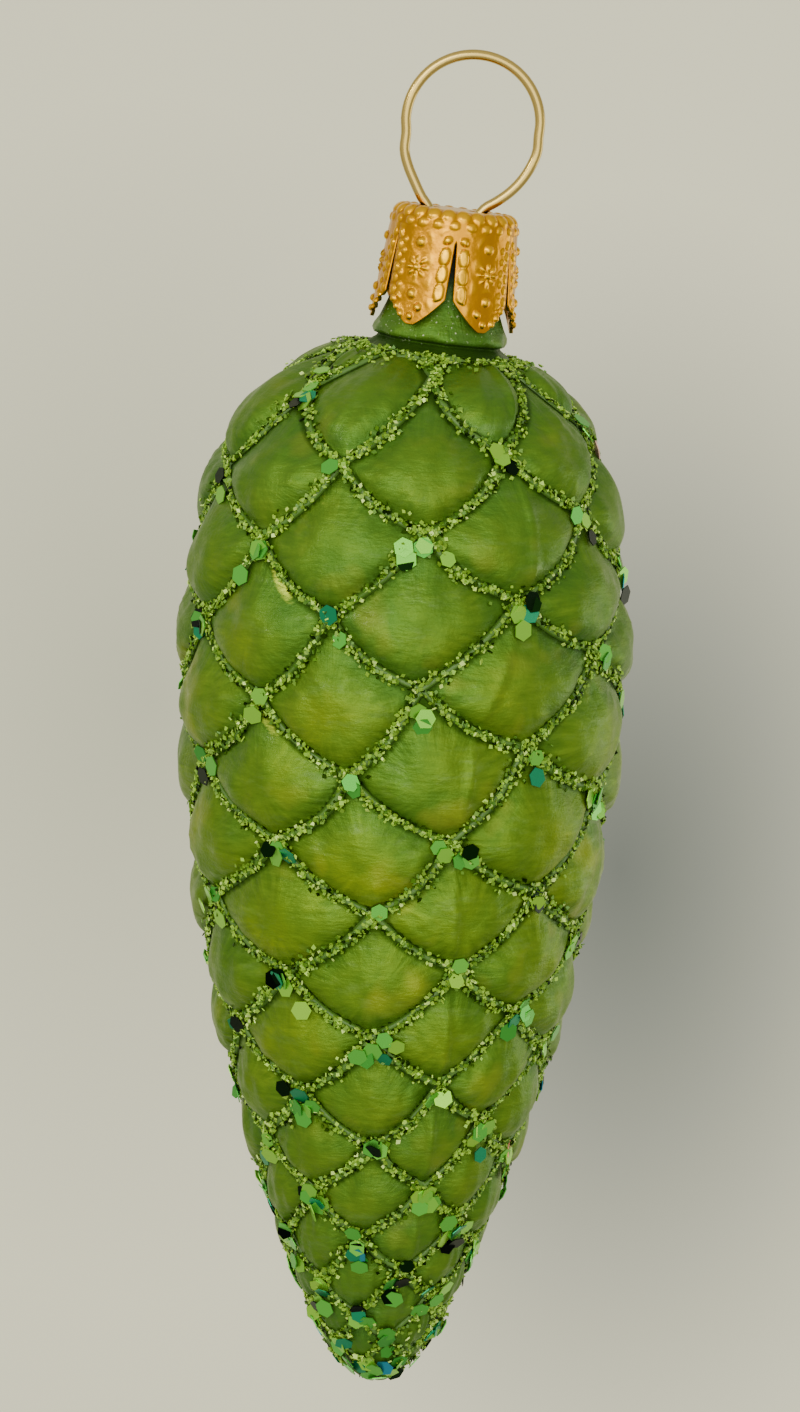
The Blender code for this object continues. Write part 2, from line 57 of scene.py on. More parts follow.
# Body, as in the part: crest radius of the scales at heights above the tip
BODY_OUTLINE = (
    (0.0000, 0.0000), (0.0016, 0.0006), (0.0032, 0.0022), (0.0050, 0.0047),
    (0.0071, 0.0090), (0.0098, 0.0155), (0.0129, 0.0245), (0.0156, 0.0345),
    (0.0175, 0.0445), (0.0188, 0.0545), (0.0191, 0.0635), (0.0182, 0.0725),
    (0.0162, 0.0801), (0.0125, 0.0852), (0.0085, 0.0876), (0.0062, 0.0884),
)
GROOVE_HEIGHT = 0.0886
# Half height of the band at the neck's groove that the lacquer paints near-black as painted shade
GROOVE_SHADE_HALF_HEIGHT = 0.00035
WALL = 0.0010
ROW_STEP = 0.00040
INSIDE_ROWS = 12
TURN_STEPS = 340
LEAST_RADIUS = 0.0014

# Neck, with heights above the groove; its flare lists distances past the neck's radius and heights
NECK_RADIUS = 0.0043
NECK_WALL = 0.0008
NECK_ROUND = 0.25 * NECK_WALL
NECK_FOOT = -0.0004
NECK_RIM = 0.0099
NECK_FLARE = ((0.0001, 0.0034), (0.0004, 0.0025), (0.0008, 0.0015), (0.0011, 0.0008),
              (0.0012, 0.0004), (0.0011, 0.0001), (0.0007, 0.0), (0.0008, -0.0002))
NECK_SWELL_HEIGHTS = (-0.0003, 0.0030)
NECK_SWELL_FADE = 0.0020
NECK_SHIFT = 0.0019
NECK_TILT = math.radians(5.2)
LEAN_START = 0.0790

# Scales, as in the part: 8 spirals one way and 6 the other
STEEP_COUNT = 8
FLAT_COUNT = 6
STEP_RIGHT = 25.5
STEP_LEFT = (360.0 - STEEP_COUNT * STEP_RIGHT) / FLAT_COUNT
TURN_START = -6.5
TURN_DRIFT = 6.0
TURN_BOW = -12.8
ROW_PITCH = 0.00093
ROW_SOFTNESS = 31.0
ROW_LAST = 82.7
ROW_BASE = -0.0111
ROW_MIDDLE = 40.0
ROW_HALF_SPAN = 60.0
RELIEF_SHARE = 0.15
CHANNEL = 0.00055
CHANNEL_SHARE = 0.09
UPPER_RAMP = 0.44
LOWER_RAMP = 0.26
SCALE_VARIATION = 0.07
SCALE_PHASES = (2.3, 3.7)
COLLAR_HEIGHT = 0.0885
COLLAR_FADE = 0.0010

# Unevenness of the mould: waves round the body, waves along it, size and phase
SWAY_WAVES = ((1, 3.5, 3.1, 78.0), (1, -5.5, 2.3, -50.0), (3, -2.0, 2.2, 118.0))
HEAVE_WAVES = ((2, 0.5, 0.00056, -91.0), (1, -4.5, 0.00039, -171.0), (2, -6.0, 0.00033, 36.0))
UNEVEN_ROUNDS = 4

# Bow of the furrows between two crossings, as a share of their spacing: each scale's foot is round
FURROW_BOW = 0.075
BOW_ROUNDS = 6

# Uneven surfaces as waves: their turns along two coordinates, size and phase
NECK_WAVES = ((7.0, 2300.0, 0.00009, 0.0), (13.0, -1900.0, 0.000063, 0.0))
DENT_WAVES = ((23, 61, 0.000030, 0.4), (-31, 47, 0.000026, 2.1), (17, -83, 0.000024, 4.0),
              (-41, 97, 0.000026, 1.3), (53, 71, 0.000020, 5.2))
DENT_BASE = 0.00008
PATCH_WAVES = ((1.9, 0.0, 1.5, 0.7), (0.0, 2.3, 1.0, 1.1))
GLUE_WAVES = ((37.0, 0.0, 0.3, 11.0), (0.0, 41.0, 1.0, 0.0))
WANDER_WAVES = ((4.3, 2.9, 0.00016, 0.0), (11.0, -7.0, 0.00010, 0.0))
SPREAD_WAVES = ((3.1, 5.3, 0.3, 0.0),)
SHEET_WAVES = ((2.9, 1.3, 0.16, 0.0), (-1.7, 2.1, 1.0, 0.6))
WRINKLE_DEPTH = 0.000075
WRINKLE_PITCH = 0.0011

# Painted highlights: streaks of bright colour on the left scales in place of the lamps' glints: angle,
# height and strength
PAINTED_HIGHLIGHTS = ((-34.7, 0.0698, 1.0), (-36.0, 0.0585, 0.6), (-24.0, 0.0765, 0.35))
PAINTED_HIGHLIGHT_HALF_LENGTH = 0.0019
PAINTED_HIGHLIGHT_HALF_WIDTH = 0.0005

# Mould seam: a low ridge down the front right and its twin behind
SEAM_RISE = 0.00030
SEAM_WIDTH = 0.00034
SEAM_START = 0.006
SEAM_FADE = 0.010
SEAM_IN_FURROW = 0.3
SEAM_PATH = ((0.0, 17.0), (0.035, 18.0), (0.050, 16.0), (0.060, 20.0), (0.070, 34.0), (0.085, 34.0))

# Glitter
NET_TOP_ROW = -24
NET_TOP_HEIGHT = 0.0883
NET_TIP_ROW = 100
GLUE_HALF_WIDTH = 0.00036
GLUE_RISE = 0.00022
GLUE_LEVELS = (-0.00015, 0.00004)
NET_THICKNESS = 0.1
GRAIN_RADIUS = 0.00021
GRAIN_THICKNESS = 0.00008
GRAIN_SPREAD = 0.00032
GRAIN_PITCH = 0.000060
GRAIN_CORNERS = 4
GRAIN_TILT = 0.55
GRAIN_LIFT = 0.00018
GRAIN_GAPS = 0.35
FURROW_STEPS = 2000
CLUMP_GRAINS = 46
CLUMP_SPREAD = 0.00075
COLLAR_SPREAD = 0.0004
GLASS_CLEARANCE = 0.00006
FLAKE_RADIUS = 0.00080
FLAKE_THICKNESS = 0.00008
FLAKE_SPREAD = 0.00075
FLAKE_DROP = 0.0006
FLAKE_TILT = 0.2
FLAKE_LIFT = (0.00012, 0.00042)
FLAKE_CHANCES = (0.02, 0.06, 0.17, 0.27, 0.24, 0.14, 0.10)
COLLAR_GRAINS = 800
TIP_FLAKES_HEIGHT = 0.022
TIP_FLAKES = 2
SEED = 11

# Cap, with depths below its top
CAP_HEIGHT = 0.0107
CAP_SHEET = 0.00030
CAP_TOP_RADIUS = 0.0052
CAP_FOOT_RADIUS = 0.0059
CAP_SHOULDER = 0.0013
CAP_DEPTH = 0.0094
CAP_CENTRE = 0.0002
TAB_COUNT = 6
SLIT_ANGLE = math.radians(3.0)
SLIT_TOP = 0.0023
SLIT_TOP_HALF = 0.00012
SLIT_FOOT = 0.0071
SLIT_FOOT_HALF = 0.00034
TAB_COLUMNS = 56
SKIRT_ROWS = 94
SHOULDER_ROWS = 16
TOP_ROWS = 16
TAB_END_HALF = 0.00022
SLIT_OPENING = 0.0003
EMBOSS = 0.00028
SHOULDER_BEADS = 24
SHOULDER_ROWS_OF_BEADS = ((0.0, 0.46, 0.42, 0.34, 0.8), (0.5, 0.3, 0.95, 0.2, 0.5))
WIRE_HOLE_RADIUS = 0.0010
WIRE_HOLES = (-0.00226, 0.00190)

# Stamped pattern of a tab in mm, across from its middle and down from the cap's top
MM = 0.001
ROSETTE = ((-0.15, 4.8), 1.0)
RINGED_DOTS = (((-0.1, 2.75), 0.60), ((-0.2, 6.95), 0.58), ((0.55, 7.95), 0.50), ((-0.05, 8.75), 0.46))
EDGE_DOT = (0.66, 2.35, 0.52)
CELLS = (0.62, (3.65, 5.10, 6.55), (0.42, 0.78))
VALLEY = (1.14, 0.14, 2.9, 7.2)

# Rows of beads beside a tab's edge in mm: strength, inset, first depth, pitch, count and half sizes,
# and whether each bead keeps its inset from the edge at its own middle
BEAD_ROWS = (
    (0.55, 0.46, 2.3, 0.9, 6, (0.32, 0.38), False),
    (0.42, 1.04, 2.75, 0.9, 6, (0.24, 0.26), False),
    (0.9, 0.32, 7.55, 0.55, 3, (0.28, 0.30), True),
)

# Wire hanger, in the cap's frame
WIRE_RADIUS = 0.00042
LOOP_CENTRE = (0.0004, 0.0071)
LOOP_RADIUS = 0.00545
LEFT_LEG = ((-0.00480, 0.00413), (-0.00436, 0.00297), (-0.00371, 0.00183), (-0.00299, 0.00070),
            (-0.00225, -0.00020), (-0.00195, -0.00140), (-0.00215, -0.00320), (-0.00255, -0.00580))
RIGHT_LEG = ((0.00588, 0.00545), (0.00556, 0.00426), (0.00491, 0.00295), (0.00407, 0.00187),
             (0.00310, 0.00100), (0.00225, 0.00035), (0.00180, -0.00040), (0.00175, -0.00150),
             (0.00205, -0.00330), (0.00255, -0.00580))
LOOP_START = math.radians(195.0)
LOOP_END = math.radians(-5.0)
LOOP_STEPS = 16
LOOP_INNER_TOP = (LOOP_CENTRE[0], CAP_HEIGHT + LOOP_CENTRE[1] + LOOP_RADIUS - WIRE_RADIUS)

# Camera, as the photograph's
CAMERA_AIM = (-0.0001, 0.0, 0.0582)
CAMERA_DISTANCE = 0.343
CAMERA_ELEVATION = math.radians(9.0)
CAMERA_ROLL = math.radians(2.3)
CAMERA_SENSOR = 36.0
CAMERA_LENS = 105.5
CAMERA_CLIP = (0.01, 20.0)

# Backdrop: soft ovals of painted shade with their place and size, and its colours
BACKDROP_GAP = 0.9
BACKDROP_SIZE = 3.0
BACKDROP_LIGHT = (0.86, 0.835, 0.60)
BACKDROP_LEFT_SHADE = (0.58, 0.58, 0.42)
BACKDROP_GLOW = 0.22
SHADE_RIGHT = ((0.068, -0.046), (0.125, 0.205))
SHADE_LEFT = ((-0.075, 0.0), (0.135, 0.180))
SHADE_STOPS = ((0.0, (1.0, 1.0, 1.0)), (0.5, (0.42, 0.445, 0.51)), (1.0, (0.13, 0.15, 0.18)))

# Lights: place seen from the body's middle, width, power and colour
LIGHTS = (
    ("key", (-0.30, -0.82, 0.38), 0.5, 3.8, (1.0, 0.98, 0.93)),
    ("front", (0.15, -0.95, 0.10), 0.9, 5.0, (1.0, 0.99, 0.96)),
    ("fill", (0.85, 0.30, -0.1), 0.5, 1.9, (1.0, 1.0, 0.96)),
    ("spark", (-0.55, -0.35, 0.30), 0.04, 0.8, (1.0, 0.96, 0.80)),
)
ROOM_BRIGHT_SIDE = (-0.20, -0.78, 0.50)
ROOM_STOPS = ((0.0, (0.34, 0.35, 0.30)), (1.0, (1.0, 0.99, 0.93)))

# Colours of the lacquer by height of the relief, olive on the crests and darker and cooler down the flanks
# as painted shade, and the tints laid over it in this order
BLACK = (0.0, 0.0, 0.0)
WHITE = (1.0, 1.0, 1.0)
LACQUER_AND_SHADE_STOPS = ((0.10, (0.046, 0.128, 0.012)), (0.38, (0.082, 0.172, 0.009)),
                 (0.62, (0.122, 0.208, 0.006)), (0.92, (0.190, 0.255, 0.005)))
LACQUER_TINTS = (
    ("pearl", 0.35, (0.14, 0.25, 0.04)),
    ("gold", 0.30, (0.36, 0.36, 0.02)),
    ("cool", 0.60, (0.036, 0.120, 0.016)),
    # painted shade: near-black green on the furrow floors and in the neck's groove
    ("furrow", 0.92, (0.018, 0.048, 0.005)),
    # painted highlight: bright yellow-green streaks
    ("painted_highlight_streak", 1.0, (0.50, 0.62, 0.05)),
    ("specks", 1.0, (0.45, 0.52, 0.30)),
    # painted shade: near-black on the neck under the cap
    ("shade_under_cap", 1.0, (0.012, 0.014, 0.004)),
)
STROKE_TILT = 0.2
GLUE_COLOUR = (0.060, 0.145, 0.012)
WIRE_COLOUR = (0.52, 0.37, 0.10)
# Gold by stamped relief: brown in the hollows as painted shade and pale on the bosses as painted highlight
GOLD_SHADE_AND_HIGHLIGHT_STOPS = ((0.06, (0.10, 0.028, 0.000)), (0.34, (0.40, 0.15, 0.000)),
              (0.48, (0.70, 0.33, 0.001)), (0.88, (0.80, 0.43, 0.002)))

# Kinds of grains and flakes: share, roughness, metallic and the colours they vary between
GRAIN_KINDS = (
    ("grains_bright", 0.34, 0.45, 0.25, ((0.0, (0.20, 0.40, 0.02)), (0.8, (0.34, 0.56, 0.04)),
                                         (1.0, (0.60, 0.80, 0.20)))),
    ("grains_green", 0.45, 0.45, 0.25, ((0.0, (0.06, 0.17, 0.008)), (1.0, (0.19, 0.34, 0.015)))),
    # dark green grains, the darkest near-black as painted shade for the gaps between grains
    ("grains_dark_and_shade", 0.21, 0.5, 1.0, ((0.0, (0.003, 0.012, 0.001)), (1.0, (0.06, 0.14, 0.008)))),
)
FLAKE_KINDS = (
    ("flakes_green", 0.70, 0.36, 0.8, ((0.0, (0.04, 0.29, 0.03)), (0.45, (0.11, 0.48, 0.05)),
                                       (1.0, (0.32, 0.62, 0.04)))),
    ("flakes_teal", 0.13, 0.38, 0.85, ((0.0, (0.01, 0.18, 0.07)), (0.88, (0.02, 0.30, 0.13)),
                                       (1.0, (0.02, 0.24, 0.38)))),
    # near-black flakes: painted shade for flakes turned away from the light
    ("flakes_painted_shade", 0.16, 0.35, 1.0, ((0.0, (0.001, 0.002, 0.001)), (1.0, (0.004, 0.02, 0.003)))),
    ("flakes_warm", 0.01, 0.35, 0.3, ((0.0, (0.75, 0.40, 0.28)), (0.6, (0.80, 0.48, 0.38)),
                                      (1.0, (0.75, 0.20, 0.04)))),
)

# Sockets of a colour mix: factor, first and second colour, and the result
MIX_INPUTS = (0, 6, 7)
MIX_RESULT = 2


def tip_place():
    """Where the body's tip lies when the loop's inner top is the origin."""
    side, rise = LOOP_INNER_TOP
    hang_x = NECK_SHIFT + side * math.cos(NECK_TILT) + rise * math.sin(NECK_TILT)
    hang_z = GROOVE_HEIGHT - side * math.sin(NECK_TILT) + rise * math.cos(NECK_TILT)
    return Vector((-hang_x, 0.0, -hang_z))


TIP = tip_place()
NECK_FRAME = (Matrix.Translation(TIP + Vector((NECK_SHIFT, 0.0, GROOVE_HEIGHT)))
              @ Matrix.Rotation(NECK_TILT, 4, "Y"))
AIM = TIP + Vector(CAMERA_AIM)
TO_CAMERA = Vector((0.0, -math.cos(CAMERA_ELEVATION), math.sin(CAMERA_ELEVATION)))


def ease(x):
    x = np.clip(x, 0.0, 1.0)
    return x * x * (3.0 - 2.0 * x)


def waves(table, x, y):
    """Waves over two coordinates, one for each row of a table."""
    return [size * np.sin(along_x * x + along_y * y + phase) for along_x, along_y, size, phase in table]


def rounded(squared):
    """Round rise by a squared distance: 1 in the middle and 0 from a distance of 1 on."""
    return np.sqrt(np.clip(1.0 - squared, 0.0, 1.0))


def smooth_path(points, step):
    """Points along a smooth curve through the given ones, about a step apart."""
    points = np.array(points, dtype=float)
    chords = np.linalg.norm(np.diff(points, axis=0), axis=1)
    marks = np.concatenate([[0.0], np.cumsum(chords)])
    slopes = np.gradient(points, marks, axis=0)
    at = np.linspace(0.0, marks[-1], int(round(marks[-1] / step)) + 1)
    k = np.clip(np.searchsorted(marks, at) - 1, 0, len(marks) - 2)
    span = (marks[k + 1] - marks[k])[:, None]
    t = (at[:, None] - marks[k][:, None]) / span
    from_point = (1 + 2 * t) * (1 - t) ** 2 * points[k] + t * (1 - t) ** 2 * span * slopes[k]
    to_point = t * t * (3 - 2 * t) * points[k + 1] + t * t * (t - 1) * span * slopes[k + 1]
    return from_point + to_point


def body_crest():
    """Crest outline as radius, height and outward normal, from the tip to the groove."""
    path = smooth_path(BODY_OUTLINE, ROW_STEP)
    along = np.gradient(path, axis=0)
    along /= np.linalg.norm(along, axis=1)[:, None]
    normal = np.stack([along[:, 1], -along[:, 0]], axis=1)
    normal[0] = (0.0, -1.0)
    return path[:, 0], path[:, 1], normal


CREST_RADIUS, CREST_HEIGHT, CREST_NORMAL = body_crest()


def crest_at(height):
    """Crest radius and both parts of its outward normal at a height."""
    return [np.interp(height, CREST_HEIGHT, values) for values in (CREST_RADIUS, *CREST_NORMAL.T)]


def row_at(height):
    rise = np.maximum(height - ROW_BASE, MERGE) / (ROW_PITCH * ROW_SOFTNESS)
    return ROW_LAST - ROW_SOFTNESS * np.log(np.expm1(rise))


def height_at(row):
    return ROW_BASE + ROW_PITCH * ROW_SOFTNESS * np.log1p(np.exp((ROW_LAST - row) / ROW_SOFTNESS))


def drift(row):
    share = (row - ROW_MIDDLE) / ROW_HALF_SPAN
    return TURN_START + TURN_DRIFT * share + TURN_BOW * share * share


def unevenness(waves, angle, row):
    """Sum of slow waves over the body, which fade out towards its top."""
    share = (row - ROW_MIDDLE) / ROW_HALF_SPAN
    total = np.zeros_like(share)
    for turns, rise, size, phase in waves:
        total = total + size * np.sin(np.radians(turns * angle + 90.0 * rise * share + phase))
    return total * np.maximum(0.0, 1.0 - share ** 4)


def bow(count):
    return FURROW_BOW * np.abs(np.sin(math.pi * count))


def lattice_at(angle, height):
    """Spiral counts (right-going, left-going) at an angle in degrees and a height."""
    even = angle
    row = row_at(height)
    for _ in range(UNEVEN_ROUNDS):
        even = angle - unevenness(SWAY_WAVES, even, row)
        row = row_at(height - unevenness(HEAVE_WAVES, even, row))
    turn = even - drift(row)
    right = (STEP_LEFT * row + STEEP_COUNT * turn) / 360.0
    left = (STEP_RIGHT * row - FLAT_COUNT * turn) / 360.0
    return right - bow(left), left - bow(right)


def place_of(right, left):
    """Angle in degrees and height of a point given by its spiral counts."""
    even_right, even_left = right, left
    for _ in range(BOW_ROUNDS):
        even_right, even_left = right + bow(even_left), left + bow(even_right)
    row = FLAT_COUNT * even_right + STEEP_COUNT * even_left
    even = STEP_RIGHT * even_right - STEP_LEFT * even_left + drift(row)
    angle = even + unevenness(SWAY_WAVES, even, row)
    return angle, height_at(row) + unevenness(HEAVE_WAVES, even, row)


def spacings(height):
    """Distance between neighbouring furrows of each family at a height."""
    row = row_at(height)
    pitch = ROW_PITCH / (1.0 + np.exp((row - ROW_LAST) / ROW_SOFTNESS))
    radius = np.maximum(crest_at(height)[0], LEAST_RADIUS)
    around = 2.0 * math.pi * radius
    slant_right = np.hypot(STEP_LEFT / 360.0 / pitch, STEEP_COUNT / around)
    slant_left = np.hypot(STEP_RIGHT / 360.0 / pitch, FLAT_COUNT / around)
    return 1.0 / slant_right, 1.0 / slant_left


def ramp_up(share, spacing, channel):
    """Height of a scale across one family of furrows, 0 in the furrow and 1 on the crest."""
    part = share - np.floor(share)
    from_top = (part * spacing - channel) / (UPPER_RAMP * spacing)
    from_foot = ((1.0 - part) * spacing - channel) / (LOWER_RAMP * spacing)
    gentle = 1.0 - (1.0 - np.clip(from_top, 0.0, 1.0)) ** 2
    steep = np.sqrt(1.0 - (1.0 - np.clip(from_foot, 0.0, 1.0)) ** 2)
    return gentle * steep


def relief_depth(height):
    right_gap, left_gap = spacings(height)
    return RELIEF_SHARE * np.minimum(right_gap, left_gap)


def raised_share(angle, height):
    """How far the glass rises from the furrow floor, 0 to 1."""
    right, left = lattice_at(angle, height)
    right_gap, left_gap = spacings(height)
    channel = np.minimum(CHANNEL, CHANNEL_SHARE * np.minimum(right_gap, left_gap))
    turn = np.floor(np.floor(right) / STEEP_COUNT)
    column = np.floor(right) - STEEP_COUNT * turn
    line = np.floor(left) + FLAT_COUNT * turn
    phase = SCALE_PHASES[0] * column + SCALE_PHASES[1] * line
    fullness = 1.0 - SCALE_VARIATION * (1.0 + np.sin(phase))
    fullness *= ease((COLLAR_HEIGHT - height) / COLLAR_FADE)
    return ramp_up(right, right_gap, channel) * ramp_up(left, left_gap, channel) * fullness


def lean(points):
    """Shift and tilt the top of the body and the neck to the right."""
    x, y, z = points.T
    share = ease((z - LEAN_START) / (GROOVE_HEIGHT - LEAN_START))
    tilt = NECK_TILT * share
    above = z - GROOVE_HEIGHT
    moved_x = NECK_SHIFT * share + x * np.cos(tilt) + above * np.sin(tilt)
    moved_z = GROOVE_HEIGHT - x * np.sin(tilt) + above * np.cos(tilt)
    return np.stack([moved_x, y, moved_z], axis=1)


def add_object(name, data, slot=None, body="root"):
    obj = bpy.data.objects.new(name, data)
    bpy.context.scene.collection.objects.link(obj)
    if slot:
        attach(obj, body)
    return obj


def evaluated_mesh(obj):
    graph = bpy.context.evaluated_depsgraph_get()
    return bpy.data.meshes.new_from_object(obj.evaluated_get(graph))


def turned_mesh(outline, steps):
    """Turn an outline of (radius, height) points about Z and return the mesh."""
    profile = bpy.data.meshes.new("profile")
    links = [(k, k + 1) for k in range(len(outline) - 1)]
    profile.from_pydata([(radius, 0.0, height) for radius, height in outline], links, [])
    obj = add_object("profile", profile)
    screw = obj.modifiers.new("Turn", "SCREW")
    screw.axis = "Z"
    screw.steps = steps
    screw.render_steps = steps
    screw.use_merge_vertices = True
    screw.merge_threshold = MERGE
    mesh = evaluated_mesh(obj)
    bpy.data.objects.remove(obj)
    return mesh


def neck_outline():
    """Wall of the neck: up the bore, over the rim and down to the groove."""
    bore = NECK_RADIUS - NECK_WALL
    below_rim = NECK_RIM - NECK_ROUND
    corners = [(bore, NECK_FOOT), (bore, 0.5 * NECK_RIM), (bore, below_rim), (bore + NECK_ROUND, NECK_RIM),
               (NECK_RADIUS - NECK_ROUND, NECK_RIM), (NECK_RADIUS, below_rim), (NECK_RADIUS, 0.5 * NECK_RIM)]
    corners += [(NECK_RADIUS + out, rise) for out, rise in NECK_FLARE]
    return [(radius, GROOVE_HEIGHT + rise) for radius, rise in corners]


def body_inside():
    """Smooth hollow, one wall below the furrows."""
    depth = relief_depth(CREST_HEIGHT) + WALL
    radius = CREST_RADIUS - depth * CREST_NORMAL[:, 0]
    height = CREST_HEIGHT - depth * CREST_NORMAL[:, 1]
    bore = NECK_RADIUS - NECK_WALL
    keep = (radius > 0.8 * WALL) & (radius > bore * (height > 0.5 * GROOVE_HEIGHT))
    inside = np.stack([radius[keep], height[keep]], axis=1)[::INSIDE_ROWS]
    start = (0.0, inside[0][1] - 0.3 * WALL)
    return [start, *map(tuple, inside)]


def seam_height(angle, height, radius):
    """Rise of the two mould seams above the glass."""
    path = np.array(SEAM_PATH)
    course = np.interp(height, path[:, 0], path[:, 1])
    rise = np.zeros_like(height)
    for turned in (0.0, 180.0):
        away = (angle - course - turned + 180.0) % 360.0 - 180.0
        across = np.radians(away) * radius / SEAM_WIDTH
        rise += SEAM_RISE * np.exp(-across * across)
    return rise


def dents(angle, height, raised):
    """Unevenness of the blown surface, with wrinkles that run up the flanks of the scales."""
    slow = sum(waves(DENT_WAVES, np.radians(angle), height / GROOVE_HEIGHT))
    right, left = lattice_at(angle, height)
    right_gap, left_gap = spacings(height)
    flank = 4.0 * raised * (1.0 - raised)
    patch = ease(math.prod(waves(PATCH_WAVES, right, left)))
    wrinkle = (np.sin(math.tau * left * left_gap / WRINKLE_PITCH)
               + np.sin(math.tau * right * right_gap / WRINKLE_PITCH))
    return slow + 0.5 * WRINKLE_DEPTH * wrinkle * flank * patch


def painted_highlights(angle, height, radius):
    """Painted highlights: streaks that run down to the right beside a furrow."""
    total = np.zeros_like(height)
    for place, level, strength in PAINTED_HIGHLIGHTS:
        across = np.radians(angle - place) * radius
        up = height - level
        along = (across - up) / math.sqrt(2.0) / PAINTED_HIGHLIGHT_HALF_LENGTH
        beside = (across + up) / math.sqrt(2.0) / PAINTED_HIGHLIGHT_HALF_WIDTH
        total += strength * np.exp(-along * along - beside * beside)
    return total


def mark_counts(mesh, angle, height):
    """Store the spiral counts of every face corner, for strokes that follow the scales."""
    corners = np.array([loop.vertex_index for loop in mesh.loops])
    starts = np.array([face.loop_start for face in mesh.polygons])
    sizes = np.diff(np.append(starts, len(corners)))
    near = np.repeat(angle[corners[starts]], sizes)
    turned = angle[corners] + 360.0 * np.round((near - angle[corners]) / 360.0)
    right, left = lattice_at(turned, height[corners])
    counts = mesh.attributes.new("counts", "FLOAT_VECTOR", "CORNER")
    counts.data.foreach_set("vector", np.stack([right, left, np.zeros_like(right)], axis=1).ravel())


def mark_points(mesh, name, values):
    mesh.attributes.new(name, "FLOAT", "POINT").data.foreach_set("value", values)


def glass_depth(angle, height, radius, raised):
    """How far the glass lies below the crest outline."""
    seam = seam_height(angle, height, radius) * ease((height - SEAM_START) / SEAM_FADE)
    seam *= SEAM_IN_FURROW + (1.0 - SEAM_IN_FURROW) * raised
    uneven = (dents(angle, height, raised) + DENT_BASE) * ease(3.0 * raised)
    return np.maximum(relief_depth(height) * (1.0 - raised) - seam + uneven, 0.0)


def neck_swell(turn, height, radius):
    """Unevenness of the neck's foot, as a share of its radius."""
    above = height - GROOVE_HEIGHT
    low, high = NECK_SWELL_HEIGHTS
    on_foot = (above > low) & (above < high) & (radius > NECK_RADIUS)
    swell = sum(waves(NECK_WAVES, turn, above)) * ease((high - above) / NECK_SWELL_FADE)
    return np.where(on_foot, swell / np.maximum(radius, MERGE), 0.0)


def make_glass(material):
    outside = list(zip(CREST_RADIUS[::-1], CREST_HEIGHT[::-1]))
    mesh = turned_mesh(body_inside() + neck_outline() + outside, TURN_STEPS)
    points = np.array([vert.co for vert in mesh.vertices], dtype=float)
    x, y, height = points.T.copy()
    radius = np.hypot(x, y)
    angle = np.degrees(np.arctan2(x, -y))
    turn = np.radians(angle)
    crest, out, up = crest_at(height)
    on_crest = (abs(radius - crest) < MERGE) & (height <= CREST_HEIGHT[-1] + MERGE)
    raised = raised_share(angle, height)
    depth = np.where(on_crest, glass_depth(angle, height, radius, raised), 0.0)
    points -= depth[:, None] * np.stack([out * np.sin(turn), -out * np.cos(turn), up], axis=1)
    points[:, :2] *= 1.0 + np.where(on_crest, 0.0, neck_swell(turn, height, radius))[:, None]
    # The neck's groove gets no rise, so the lacquer paints it dark as painted shade; the rest of the neck
    # gets a middle value
    elsewhere = np.where(abs(height - GROOVE_HEIGHT) < GROOVE_SHADE_HALF_HEIGHT, 0.0, 0.5)
    mark_points(mesh, "crest", np.where(on_crest, raised, elsewhere))
    # Where the painted highlight streaks lie on the lacquer
    mark_points(mesh, "painted_highlight", np.where(on_crest, painted_highlights(angle, points[:, 2], radius), 0.0))
    mark_counts(mesh, angle, points[:, 2])
    mesh.vertices.foreach_set("co", (lean(points) + np.array(TIP)).ravel())
    mesh.materials.append(material)
    mesh.shade_smooth()
    obj = add_object("glass_shell", mesh, "lacquered_glass")
    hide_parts("glass_body")


def on_body(right, left, lift):
    """Points at spiral counts, lifted from the furrow floor, with normals and tangents."""
    angle, height = place_of(right, left)
    height = np.minimum(height, NET_TOP_HEIGHT)
    turn = np.radians(angle)
    radius, out, up = crest_at(height)
    rise = lift - relief_depth(height)
    sideways = radius + rise * out
    points = np.stack([sideways * np.sin(turn), -sideways * np.cos(turn), height + rise * up], axis=1)
    normals = np.stack([out * np.sin(turn), -out * np.cos(turn), up], axis=1)
    around = np.stack([np.cos(turn), np.sin(turn), np.zeros_like(turn)], axis=1)
    return lean(points) + np.array(TIP), normals, around


def crossings():
    """Spiral counts of every furrow crossing."""
    found = []
    for right in range(STEEP_COUNT):
        lowest = math.ceil((NET_TOP_ROW + 2 - FLAT_COUNT * right) / STEEP_COUNT)
        highest = math.floor((NET_TIP_ROW - 2 - FLAT_COUNT * right) / STEEP_COUNT)
        found += [(right, left) for left in range(lowest, highest + 1)]
    return np.array(found, dtype=float)


def furrow_grid():
    """Flat net of bars along the furrows, laid out in spiral counts."""
    first = math.floor((NET_TOP_ROW - FLAT_COUNT * STEEP_COUNT) / STEEP_COUNT) - 1
    last = math.ceil(NET_TIP_ROW / STEEP_COUNT) + 1
    grid = bmesh.new()
    bmesh.ops.create_grid(grid, x_segments=STEEP_COUNT, y_segments=last - first, size=0.5)
    for vert in grid.verts:
        vert.co.x = round((vert.co.x + 0.5) * STEEP_COUNT)
        vert.co.y = first + round((vert.co.y + 0.5) * (last - first))
    across = Vector((FLAT_COUNT, STEEP_COUNT, 0.0))
    for row, outward in ((NET_TOP_ROW, -1.0), (NET_TIP_ROW, 1.0)):
        everything = grid.verts[:] + grid.edges[:] + grid.faces[:]
        bmesh.ops.bisect_plane(grid, geom=everything, dist=MERGE, plane_no=across * outward,
                               plane_co=across * (row / across.length_squared), clear_outer=True)
    mesh = bpy.data.meshes.new("furrow_grid")
    grid.to_mesh(mesh)
    grid.free()
    obj = add_object("furrow_grid", mesh)
    wire = obj.modifiers.new("Net", "WIREFRAME")
    wire.thickness = NET_THICKNESS
    wire.use_boundary = False
    net = bmesh.new()
    net.from_mesh(evaluated_mesh(obj))
    bpy.data.objects.remove(obj)
    return net


